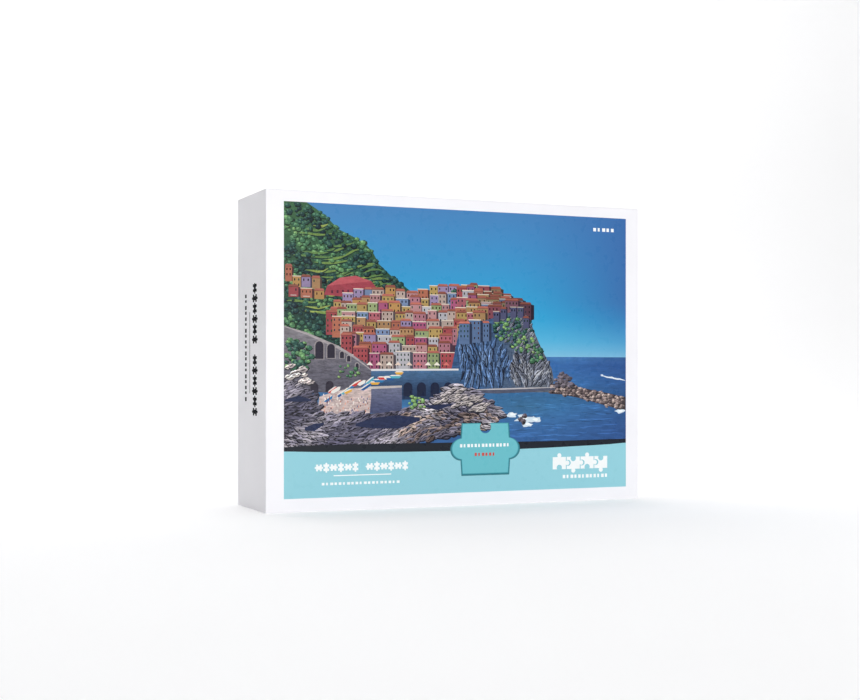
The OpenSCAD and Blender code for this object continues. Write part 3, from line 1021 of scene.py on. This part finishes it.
def paper_finish(name, tone, wear_tone):
    """Coated paper over board: nearly smooth, with faint fibres and a soft rippled gloss."""
    finish = Finish(name, Roughness=0.4, Specular_IOR_Level=0.45)
    cloud = finish.noise(28, 3, 0.5)
    fibre = finish.noise(900, 5, 0.7)
    base = finish.ramp(cloud, (0.3, shaded(tone, 0.985)), (0.7, tone))
    base = finish.mix(finish.graph(fibre, 0.62, 0.85, 0, 0.35), base, rgba(wear_tone))
    finish.colour(base)
    finish.roughness(finish.graph(finish.noise(160, 4), 0.3, 0.7, 0.3, 0.42))
    ripple = finish.math("ADD", finish.math("MULTIPLY", fibre, 0.15), finish.noise(110, 3, 0.5))
    finish.bump(ripple, 0.12, 0.0002)
    return finish


def print_finish(name, gloss=0.26, shine=0.15):
    """Ink on coated paper. The foliage, rock and water patterns only stir the colours laid down."""
    finish = Finish(name, Roughness=gloss, Specular_IOR_Level=shine)
    ink = finish.painted("ink")
    foliage, rock, water = finish.channels("patterns")
    leaves = finish.noise(1500, 6, 0.75)
    dapple = finish.noise(420, 4, 0.7)
    strata = finish.noise(650, 6, 0.75, stretch=(0.45, 1, 1.7), turn=(0, 0.5, 0))
    swell = finish.noise(500, 5, 0.7, stretch=(0.22, 1, 1))

    def stirred(colour, amount, pattern, low, high):
        light = finish.graph(pattern, 0.3, 0.7, low, high)
        grey = finish.node("ShaderNodeCombineColor")
        for channel in ("Red", "Green", "Blue"):
            finish.feed(grey.inputs[channel], light)
        return finish.mix(amount, colour, finish.mix(1.0, colour, grey.outputs["Color"], "MULTIPLY"))

    ink = stirred(ink, foliage, leaves, 0.45, 1.6)
    ink = stirred(ink, foliage, dapple, 0.7, 1.3)
    ink = stirred(ink, rock, strata, 0.45, 1.55)
    ink = stirred(ink, water, swell, 0.78, 1.2)
    finish.colour(ink)
    finish.roughness(finish.graph(finish.noise(160, 4), 0.3, 0.7, gloss, gloss + 0.05))
    finish.bump(finish.noise(110, 3, 0.5), 0.06, 0.0002)
    return finish


def greyboard_finish():
    """Recycled board: grey-brown, with pale and dark flecks of fibre."""
    finish = Finish("greyboard", Roughness=0.88, Specular_IOR_Level=0.25)
    body = finish.ramp(finish.noise(60, 4), (0.3, (150, 141, 128)), (0.7, (168, 160, 147)))
    fibre = finish.noise(700, 5, 0.75, stretch=(1, 1, 0.35))
    body = finish.mix(finish.graph(fibre, 0.5, 0.75, 0, 0.6), body, rgba((196, 189, 176)))
    specks = finish.cracks(900)
    body = finish.mix(finish.graph(specks, 0.0, 0.035, 0.55, 0), body, rgba((104, 94, 84)))
    finish.colour(body)
    finish.bump(fibre, 0.35, 0.0002)
    return finish


def tape_finish():
    """Brown paper tape with a fine machine-direction fibre."""
    finish = Finish("stay_tape", Roughness=0.6, Specular_IOR_Level=0.35)
    fibre = finish.noise(800, 5, 0.7, stretch=(1, 0.12, 1))
    finish.colour(finish.ramp(fibre, (0.3, (166, 126, 84)), (0.7, (196, 158, 114))))
    finish.bump(fibre, 0.25, 0.0001)
    return finish


def film_finish():
    """Clear heat-seal film: nearly open seen square on, and whiter the more edge-on it is seen. The white is
    partly the film's own milky haze and partly painted reflection, made stronger edge-on, where real film
    reflects more.
    """
    finish = Finish("bag_film", Roughness=0.14, Specular_IOR_Level=0.8)
    finish.colour(finish.ramp(finish.noise(40, 3), (0.3, (236, 241, 245)), (0.7, (250, 252, 253))))
    # Painted reflection: the white colour above shows more, the more edge-on the film is seen.
    fresnel = finish.node("ShaderNodeFresnel")
    fresnel.inputs["IOR"].default_value = 1.3
    shine = finish.graph(fresnel.outputs["Fac"], 0.01, 1.0, 0.07, 0.6)
    finish.feed(finish.shader.inputs["Alpha"], shine)
    finish.roughness(finish.graph(finish.noise(90, 4), 0.3, 0.7, 0.1, 0.2))
    finish.bump(finish.noise(70, 4, 0.6), 0.5, 0.0015)
    return finish


def piece_board_finish():
    """The pressed board of the loose pieces: soft grey with blue-grey backs and torn fibres."""
    finish = Finish("puzzle_board", Roughness=0.8, Specular_IOR_Level=0.3)
    fibre = finish.noise(1400, 5, 0.75)
    tone = finish.ramp(finish.noise(260, 3), (0.3, (150, 160, 170)), (0.7, (170, 179, 187)))
    finish.colour(finish.mix(finish.graph(fibre, 0.45, 0.75, 0, 0.6), tone, rgba((200, 204, 206))))
    finish.bump(fibre, 0.3, 0.0001)
    return finish


white_paper = paper_finish("printed_wrap", (243, 242, 246), (226, 224, 226))
plain_paper = paper_finish("plain_wrap", (241, 241, 243), (222, 221, 222))
box_ink = print_finish("box_print")
side_ink = print_finish("side_print", 0.6, 0.02)
sheet_ink = print_finish("sheet_print", 0.34)
sheet_paper = paper_finish("picture_sheet", (240, 240, 242), (224, 224, 224))
piece_ink = print_finish("piece_print", 0.3)
greyboard = greyboard_finish()
stay_tape = tape_finish()
film = film_finish()
piece_board = piece_board_finish()

for node, finish in (("lid_board", greyboard), ("tray_board", greyboard),
                     ("lid_corner_stays", stay_tape), ("tray_corner_stays", stay_tape)):
    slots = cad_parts[node].data.materials
    slots.clear()
    slots.append(finish.material)


# ---------------------------------------------------------------------------
# The two halves of the box and their print

for half, slot, finish in (("lid", "printed_wrap", white_paper), ("tray", "plain_wrap", plain_paper)):
    name, node = f"{half}_paper", f"{half}_wrap"
    put(name, case_paper(name, node), half, slot, [finish], [node])


def on_panel(u, v, lift):
    """A point in metres on the lid's front, lifted off it."""
    return Vector((u - BOX_W / 2, FRONT_Y - lift, v)) * MM


def on_left_wall(u, v, lift):
    """The same on the lid's left wall, where u runs down it and v towards the front."""
    return Vector((-BOX_W / 2 - lift, FRONT_Y + LABEL_DEPTH - v, LABEL_TOP - u)) * MM


def print_on(name, art, place, body, slot, finish, inward, layer=1):
    """Lays a print down as its own thin layer, with an edge that reaches the paper."""
    mesh = art.mesh(name, lambda u, v: place(u, v, layer * INK))
    put(name, with_edge(mesh, layer * INK, inward), body, slot, [finish])


village = coastal_village()
print_on("lid_picture", village, on_panel, "lid", "printed_wrap", box_ink, (0, 1, 0))
print_on("lid_band", teal_band(), on_panel, "lid", "printed_wrap", box_ink, (0, 1, 0), layer=2)
print_on("side_label", side_label(), on_left_wall, "lid", "printed_wrap", side_ink, (1, 0, 0))


# ---------------------------------------------------------------------------
# The reference picture: a loose sheet, a little curled, with the puzzle's picture on its front

SHEET_MARGIN = 3.0
CURL = 0.55                   # how far its corners lift towards the lid
sheet_low, sheet_high = (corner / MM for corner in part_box("reference_picture"))
sheet_size = sheet_high - sheet_low


def on_sheet(x, z, lift):
    """A point on the sheet in metres, from its lower left corner and lifted off its front."""
    across, up = 2 * x / sheet_size.x - 1, 2 * z / sheet_size.z - 1
    curl = CURL * (abs(across) ** 3 * (0.5 + 0.5 * up) + 0.3 * up * up - 0.35)
    return Vector((sheet_low.x + x, sheet_low.y - curl - lift, sheet_low.z + z)) * MM


def sheet_slab(columns=36, rows=26):
    """The bare sheet, as a closed curved slab."""
    def at(i, j, lift):
        return on_sheet(sheet_size.x * i / columns, sheet_size.z * j / rows, lift) / MM

    points = [
        at(i, j, lift)
        for lift in (0, -sheet_size.y) for j in range(rows + 1) for i in range(columns + 1)
    ]
    line, back = columns + 1, (columns + 1) * (rows + 1)
    faces = []
    for j in range(rows):
        for i in range(columns):
            a = j * line + i
            faces.append((a, a + 1, a + line + 1, a + line))
            faces.append((back + a, back + a + line, back + a + line + 1, back + a + 1))
    for i in range(columns):
        for a, b in ((i, i + 1), (rows * line + i + 1, rows * line + i)):
            faces.append((a, back + a, back + b, b))
    for j in range(rows):
        for a, b in (((j + 1) * line, j * line), (j * line + columns, (j + 1) * line + columns)):
            faces.append((a, back + a, back + b, b))
    return turned_out(new_mesh("picture_sheet", points, faces, [True] * len(faces)))


def picture_on_sheet(u, v, lift):
    """Where a point of the village print falls on the sheet."""
    x = SHEET_MARGIN + (u - LEFT) / (RIGHT - LEFT) * (sheet_size.x - 2 * SHEET_MARGIN)
    z = SHEET_MARGIN + (v - PRINT_FOOT) / (TOP - PRINT_FOOT) * (sheet_size.z - 2 * SHEET_MARGIN)
    return on_sheet(x, z, lift)


put("picture_sheet", sheet_slab(), "sheet", "picture_sheet", [sheet_paper], ["reference_picture"])
print_on("picture_print", village, picture_on_sheet, "sheet", "picture_sheet", sheet_ink, (0, 1, 0))


# ---------------------------------------------------------------------------
# The bag of film: drawn in at the top to a flat crimped seam, and crumpled where it is slack.
# Its shape is the CAD bag's, so these heights and widths repeat those of the part.

bag_low, bag_high = (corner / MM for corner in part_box("bag_film"))
SEAM_W, SEAM_T = 9.0, 0.4
BAG_R = 8.0                  # of its long edges
BAG_D = 52.6                 # front to back, where it is full
BAG_HALF = (bag_high.x - bag_low.x) / 2
BAG_FOOT = bag_low.z + SEAM_T
BAG_BACK = bag_high.y - SEAM_T
BAG_Y = BAG_BACK - BAG_D / 2
SHOULDER_FRONT, SHOULDER_BACK, SHOULDER_SIDE = 147.0, 157.0, 152.0    # where it starts to close
TOP_SEAM_Z = 168.0
TOP_SEAM_HALF = 111.0
SEAM_LEAN = 6.0              # how far the top seam lies behind the bag's middle
FOOT_SEAM_HALF = 107.5
FILM_T = 0.12
VENT_X, VENT_Z, VENT_R = 70.0, 138.0, 2.5
GATHER_Z, GATHER_RISE = 138.0, 30.0         # where the gathers start, and how far up they grow
GATHER_DEPTH, DENT_MOST, CRIMP_DEPTH = 3.2, 0.8, 0.12
DENT_RATE, FINE_DENTS = 0.045, 2.7          # dents to a millimetre, and how much finer the small ones
GATHER_RATE_X, GATHER_RATE_Z = 0.16, 0.03
CRIMP_RATE = 5.2             # radians to a millimetre up the seam


def drawn_in(z, shoulder, wide, narrow):
    """A distance that is wide up to the shoulder, then closes evenly to narrow at the top seam."""
    return wide + (narrow - wide) * min(max((z - shoulder) / (TOP_SEAM_Z - shoulder), 0), 1)


def crumple(x, z, side):
    """How far the film lies in from its full shape: soft dents below and gathers by the seam."""
    spot = Vector((x * DENT_RATE, z * DENT_RATE, 7.0 * side))
    dents = abs(noise.noise(spot)) + 0.5 * abs(noise.noise(spot * FINE_DENTS))
    gather = max(0.0, (z - GATHER_Z) / GATHER_RISE)
    spot = Vector((x * GATHER_RATE_X, z * GATHER_RATE_Z, 3.0 + side))
    folds = abs(noise.noise(spot)) * GATHER_DEPTH * gather
    return min(0.75 * dents, DENT_MOST) + folds * (1 - 0.6 * gather)


def bag_shell(levels=84, around=40):
    """The film's outer skin, from the foot up to the crimped top seam."""
    rings = []
    top = bag_high.z
    for k in range(levels + 1):
        z = BAG_FOOT + (top - BAG_FOOT) * (k / levels) ** 0.92
        foot = BAG_R - min(z - BAG_FOOT, BAG_R)
        tuck = BAG_R - math.sqrt(BAG_R ** 2 - foot ** 2)
        half = drawn_in(z, SHOULDER_SIDE, BAG_HALF, TOP_SEAM_HALF) - tuck
        front = drawn_in(z, SHOULDER_FRONT, -BAG_D / 2, SEAM_LEAN - SEAM_T / 2) + tuck
        back = drawn_in(z, SHOULDER_BACK, BAG_D / 2, SEAM_LEAN + SEAM_T / 2) - tuck
        deep = (back - front) / 2
        ring = round_rectangle(half, deep, max(min(BAG_R - tuck, deep * 0.9), 0.1), 6, around)
        flat = min(1.0, (deep - SEAM_T / 2) / 3)
        placed = []
        for x, y in ring:
            dent = crumple(x, z, 1 if y > 0 else -1) * flat
            pull = min(dent, 0.8 * deep) / deep
            crimp = CRIMP_DEPTH * math.sin(z * CRIMP_RATE) * (z > TOP_SEAM_Z)
            depth = BAG_Y + (front + back) / 2 + y * (1 - pull) + crimp
            placed.append((x * (1 - 0.3 * dent / half), depth, z))
        rings.append(placed)
    return lofted("bag_shell", rings)


def crimped_strip(low, high, along_axis, pitch=1.3):
    """Points and faces of a flat sealed seam with fine ribs across its length."""
    size = Vector(high) - Vector(low)
    thin = min(range(3), key=lambda axis: size[axis])
    wide = 3 - along_axis - thin
    count = round(size[wide] / pitch) * 2
    rings = []
    for k in range(count + 1):
        rib = 0.22 * size[thin] * (1 if k % 2 else -1)
        for end, side in ((0, 0), (1, 0), (1, 1), (0, 1)):
            point = Vector(low)
            point[along_axis] += size[along_axis] * end
            point[wide] += size[wide] * k / count
            point[thin] += size[thin] * (0.3 + 0.4 * side) + rib
            rings.append(point)
    faces = [(0, 1, 2, 3), tuple(4 * count + i for i in (3, 2, 1, 0))]
    for k in range(count):
        for i in range(4):
            a, b = 4 * k + i, 4 * k + (i + 1) % 4
            faces.append((a, b, b + 4, a + 4))
    return rings, faces


def punch_vent(work):
    """Cuts the round vent through the film, front and back."""
    middle = Vector((VENT_X, 0, VENT_Z)) * MM
    radius = VENT_R * MM

    def away(place):
        return math.hypot(place.x - middle.x, place.z - middle.z)

    near = [
        face for face in work.faces
        if away(face.calc_center_median()) < 4 * radius and abs(face.normal.y) > 0.3
    ]
    edges = {edge for face in near for edge in face.edges}
    bmesh.ops.subdivide_edges(work, edges=list(edges), cuts=5, use_grid_fill=True)
    hole = [face for face in work.faces if away(face.calc_center_median()) < radius]
    bmesh.ops.delete(work, geom=hole, context="FACES")
    for corner in work.verts:
        if corner.is_boundary:
            stretch = radius / away(corner.co)
            corner.co.x = middle.x + (corner.co.x - middle.x) * stretch
            corner.co.z = middle.z + (corner.co.z - middle.z) * stretch


def bag_mesh():
    """The film, given its thickness, and the seams that lie along it."""
    shell = bag_shell()
    work = bmesh.new()
    work.from_mesh(shell)
    punch_vent(work)
    bmesh.ops.solidify(work, geom=work.faces[:], thickness=FILM_T * MM)
    half_seam = SEAM_W / 2
    foot_seam = ((-FOOT_SEAM_HALF, BAG_Y - half_seam, bag_low.z),
                 (FOOT_SEAM_HALF, BAG_Y + half_seam, BAG_FOOT))
    back_seam = ((-half_seam, BAG_BACK, BAG_FOOT + BAG_R),
                 (half_seam, bag_high.y, SHOULDER_SIDE - 3))
    for (low, high), along_axis in ((foot_seam, 0), (back_seam, 2)):
        points, faces = crimped_strip(low, high, along_axis)
        made = [work.verts.new(Vector(p) * MM) for p in points]
        for face in faces:
            work.faces.new([made[i] for i in face])
    bmesh.ops.recalc_face_normals(work, faces=work.faces)
    work.to_mesh(shell)
    work.free()
    return shell


put("bag_shell", bag_mesh(), "bag", "film", [film], ["bag_film"])


# ---------------------------------------------------------------------------
# The thousand pieces, each where the part's own heap puts it. The formulas repeat the part's.

PIECE_W, PIECE_H = PUZZLE_W / PUZZLE_COLS, PUZZLE_H / PUZZLE_ROWS
PIECE_REACH = max(PIECE_H / 2 + KNOB_OUT + KNOB_R, math.hypot(PIECE_W, PIECE_H) / 2)
CELL_GAP, LAYER_GAP, HEAP_LIFT = 0.4, 0.45, 3.8
CELL_PITCH = 2 * PIECE_REACH + CELL_GAP
CELL_RISE = CELL_PITCH * math.sqrt(3) / 2
CELL_COLS, LAYERS, DEEP_LAYERS, DEEP_ROWS, SHALLOW_ROWS = 8, 22, 15, 6, 5
LAYER_PITCH = PIECE_T + LAYER_GAP
LEAN_MOST, LEAN_STEP = 6.0, 8.0
CAD_FILM_T = 0.3
HEAP_BASE_Z = BAG_FOOT + CAD_FILM_T + HEAP_LIFT
HEAP_D = (LAYERS - 1) * LAYER_PITCH
SHUFFLE_STEP, SHUFFLE_START = 617, 250      # which cell each piece in turn goes to
SCATTER_STEPS = 1009
WAY, SHIFT, TILT, SWING, FACE, TURN = 3, 5, 7, 11, 13, 17     # a salt for each scattered value
BEVEL = 0.22                 # the die rounds a piece's printed edge
FACE_X = (-6, -3, 0, 3, 6)   # where points inside a printed face carry the picture's colours
FACE_Y = (-7.5, -4.5, -1.5, 1.5, 4.5, 7.5)
PICTURE_PITCH = 0.5          # of the colours taken from the print, in its millimetres

cells = [
    (layer, row, col)
    for layer in range(LAYERS)
    for row in range(DEEP_ROWS if layer < DEEP_LAYERS else SHALLOW_ROWS)
    for col in range(CELL_COLS)
]
swatches = village.sampled(PICTURE_PITCH)


def scatter(number, salt):
    """The part's repeatable scattered value from 0 up to 1."""
    return ((37 * number * number + 7919 * number + 4409 * salt) % SCATTER_STEPS) / SCATTER_STEPS


def knob_way(cut):
    return 1 if scatter(cut, WAY) < 0.5 else -1


def knob_shift(cut):
    return KNOB_WANDER * (2 * scatter(cut, SHIFT) - 1)


def piece_outline(row, col):
    """One piece, with each of its cuts numbered as its neighbour numbers the same cut."""
    right, left = 2 * (row * PUZZLE_COLS + col), 2 * (row * PUZZLE_COLS + col - 1)
    above, below = right + 1, 2 * ((row - 1) * PUZZLE_COLS + col) + 1
    ways = (
        knob_way(right) if col < PUZZLE_COLS - 1 else 0,
        knob_way(above) if row < PUZZLE_ROWS - 1 else 0,
        -knob_way(left) if col > 0 else 0,
        -knob_way(below) if row > 0 else 0,
    )
    shifts = (knob_shift(right), -knob_shift(above), -knob_shift(left), knob_shift(below))
    return jigsaw_outline(PIECE_W - CUT_W, PIECE_H - CUT_W, ways, shifts, out=KNOB_OUT - CUT_W / 2,
                          slack=CUT_W)


def drawn_back(outline, distance):
    """The outline with each point moved inwards along its corner's bisector."""
    moved_in = []
    for before, (x, y), after in zip(outline[-1:] + outline[:-1], outline, outline[1:] + outline[:1]):
        tangent = Vector((after[0] - before[0], after[1] - before[1])).normalized()
        moved_in.append((x - tangent.y * distance, y + tangent.x * distance))
    return moved_in


def picture_colour(row, col, x, y):
    """The print's colour at a point of a piece, in linear light."""
    high, wide, _ = swatches.shape
    i = int(wide * (col + 0.5 + x / PIECE_W) / PUZZLE_COLS)
    j = int(high * (row + 0.5 + y / PIECE_H) / PUZZLE_ROWS)
    return (*swatches[min(max(j, 0), high - 1), min(max(i, 0), wide - 1)], 1.0)


def piece_place(row, col):
    """Where the part's heap holds a piece, in millimetres."""
    number = row * PUZZLE_COLS + col
    layer, cell_row, cell_col = cells[(SHUFFLE_STEP * number + SHUFFLE_START) % len(cells)]
    stack = cell_row * CELL_COLS + cell_col
    stagger = (1 if cell_row % 2 else -1) * CELL_PITCH / 4
    phase = LEAN_STEP * layer

    def turn(degrees, axis):
        return Matrix.Rotation(math.radians(degrees), 4, axis)

    def lean(salt):
        return LEAN_MOST * math.sin(math.radians(phase + 360 * scatter(stack, salt)))

    return (
        Matrix.Translation((
            (cell_col - (CELL_COLS - 1) / 2) * CELL_PITCH + stagger,
            BAG_Y + HEAP_D / 2 - layer * LAYER_PITCH,
            HEAP_BASE_Z + PIECE_REACH + cell_row * CELL_RISE,
        ))
        @ turn(lean(SWING), "Z") @ turn(lean(TILT), "X")
        @ turn(90 if scatter(number, FACE) < 0.5 else -90, "X")
        @ turn(360 * scatter(number, TURN), "Z")
    )


def piece_solid(row, col):
    """A piece in millimetres about its own middle, and the triangles of its printed face. First
    come the points round its back, then those round its cut side, then its printed face's."""
    outline = piece_outline(row, col)
    inner = drawn_back(outline, BEVEL)
    count, half = len(outline), PIECE_T / 2
    grid = [(x, y) for x in FACE_X for y in FACE_Y if inside(x, y, inner)]
    ring = [(k, (k + 1) % count) for k in range(count)]
    face_points, _, triangles, _, _, _ = geometry.delaunay_2d_cdt(
        [Vector(p) for p in inner + grid], ring, [], 1, 1e-5)
    points = [(x, y, z) for z in (-half, half - BEVEL) for x, y in outline]
    points += [(*p, half) for p in face_points]
    return count, points, triangles


def row_mesh(row):
    """The pieces of one row of the puzzle: printed face, rounded edge, cut side and back."""
    points, faces, inks, slots = [], [], [], []

    def add_face(corners, colours, slot):
        faces.append(corners)
        inks.extend(colours)
        slots.append(slot)

    for col in range(PUZZLE_COLS):
        count, solid, triangles = piece_solid(row, col)
        place, back = piece_place(row, col), len(points)
        edge, top = back + count, back + 2 * count
        points += [place @ Vector(p) for p in solid]
        ink = [picture_colour(row, col, x, y) for x, y, _ in solid[2 * count:]]
        add_face(tuple(back + k for k in reversed(range(count))), [CUT_GREY] * count, 1)
        for k in range(count):
            j = (k + 1) % count
            add_face((back + k, back + j, edge + j, edge + k), [CUT_GREY] * 4, 1)
            add_face((edge + k, edge + j, top + j, top + k), [ink[k], ink[j], ink[j], ink[k]], 0)
        for cell in triangles:
            add_face(tuple(top + k for k in cell), [ink[k] for k in cell], 0)
    name = f"pieces_row_{row + 1:02d}"
    mesh = new_mesh(name, points, faces)
    layer = mesh.color_attributes.new("ink", "FLOAT_COLOR", "CORNER")
    layer.data.foreach_set("color", [value for colour in inks for value in colour])
    put(name, mesh, "bag", "puzzle_board", [piece_ink, piece_board], [f"puzzle_row_{row + 1:02d}"])
    mesh.polygons.foreach_set("material_index", slots)


for row in range(PUZZLE_ROWS):
    row_mesh(row)


# ---------------------------------------------------------------------------
# Studio and camera

FLOOR_FRONT, FLOOR_HALF_W = -4000, 5000
COVE_Y, COVE_R, BACKDROP_H = 900, 900, 3600     # where the floor starts to curve up, and how far
FLOOR_GLOW = 0.26


def studio():
    """A pale floor that curves up into a backdrop behind the box. It glows a little, so that it
    looks white without so much light that the box would be washed out."""
    section = [
        (FLOOR_FRONT, 0), (COVE_Y, 0), *arc(COVE_Y, COVE_R, COVE_R, 270, 360, 12),
        (COVE_Y + COVE_R, BACKDROP_H),
    ]
    points = [(x, y, z) for y, z in section for x in (-FLOOR_HALF_W, FLOOR_HALF_W)]
    faces = [(2 * k, 2 * k + 1, 2 * k + 3, 2 * k + 2) for k in range(len(section) - 1)]
    mesh = new_mesh("studio_floor", points, faces, [True] * len(faces))
    finish = Finish("studio_floor", Roughness=0.9, Specular_IOR_Level=0.1,
                    Emission_Color=(1, 1, 1, 1), Emission_Strength=FLOOR_GLOW)
    finish.colour(finish.ramp(finish.noise(3, 3), (0.3, (248, 248, 249)), (0.7, (251, 251, 252))))
    finish.material.cycles.emission_sampling = "NONE"
    mesh.materials.append(finish.material)
    floor = bpy.data.objects.new("studio_floor", mesh)
    bpy.context.collection.objects.link(floor)


def softbox(name, place, target, size, power):
    """A round soft light at a place in metres, aimed at another, of that width and wattage."""
    lamp = bpy.data.lights.new(name, "AREA")
    lamp.shape = "DISK"
    lamp.size = size
    lamp.energy = power
    made = bpy.data.objects.new(name, lamp)
    made.location = place
    made.rotation_euler = (Vector(target) - Vector(place)).to_track_quat("-Z", "Y").to_euler()
    bpy.context.collection.objects.link(made)


def studio_walls(light, shown):
    """White all round: light is how much they light the box, and shown how bright they look."""
    world = bpy.data.worlds.new("studio")
    world.use_nodes = True
    tree = world.node_tree
    path = tree.nodes.new("ShaderNodeLightPath")
    strength = tree.nodes.new("ShaderNodeMapRange")
    strength.inputs["To Min"].default_value = light
    strength.inputs["To Max"].default_value = shown
    tree.links.new(path.outputs["Is Camera Ray"], strength.inputs["Value"])
    background = tree.nodes["Background"]
    background.inputs["Color"].default_value = (1, 1, 1, 1)
    tree.links.new(strength.outputs["Result"], background.inputs["Strength"])
    bpy.context.scene.world = world


studio()
studio_walls(light=0.14, shown=1.0)
softbox("key", (0.0, -3.0, 0.3), (0, 0, 0.06), 1.1, 54)
softbox("overhead", (0.6, -0.7, 2.6), (0.2, -0.1, 0), 2.4, 18)
softbox("backdrop_wash", (0, 0.6, 2.4), (0, 1.9, 0.8), 1.6, 20)
bpy.context.scene.view_settings.view_transform = "Standard"

CAMERA_AT = (-0.365, -0.811, 0.081)         # in metres
CAMERA_LOOKS = (0.4018, 0.9157, 0)          # level, so that the box's upright edges stay upright
LENS, SHIFT_UP = 58.2, 0.029                # the lens in millimetres
camera = bpy.data.objects.new("camera", bpy.data.cameras.new("camera"))
camera.data.lens = LENS
camera.data.shift_y = SHIFT_UP
camera.location = CAMERA_AT
camera.rotation_euler = Vector(CAMERA_LOOKS).to_track_quat("-Z", "Y").to_euler()
bpy.context.collection.objects.link(camera)
bpy.context.scene.camera = camera
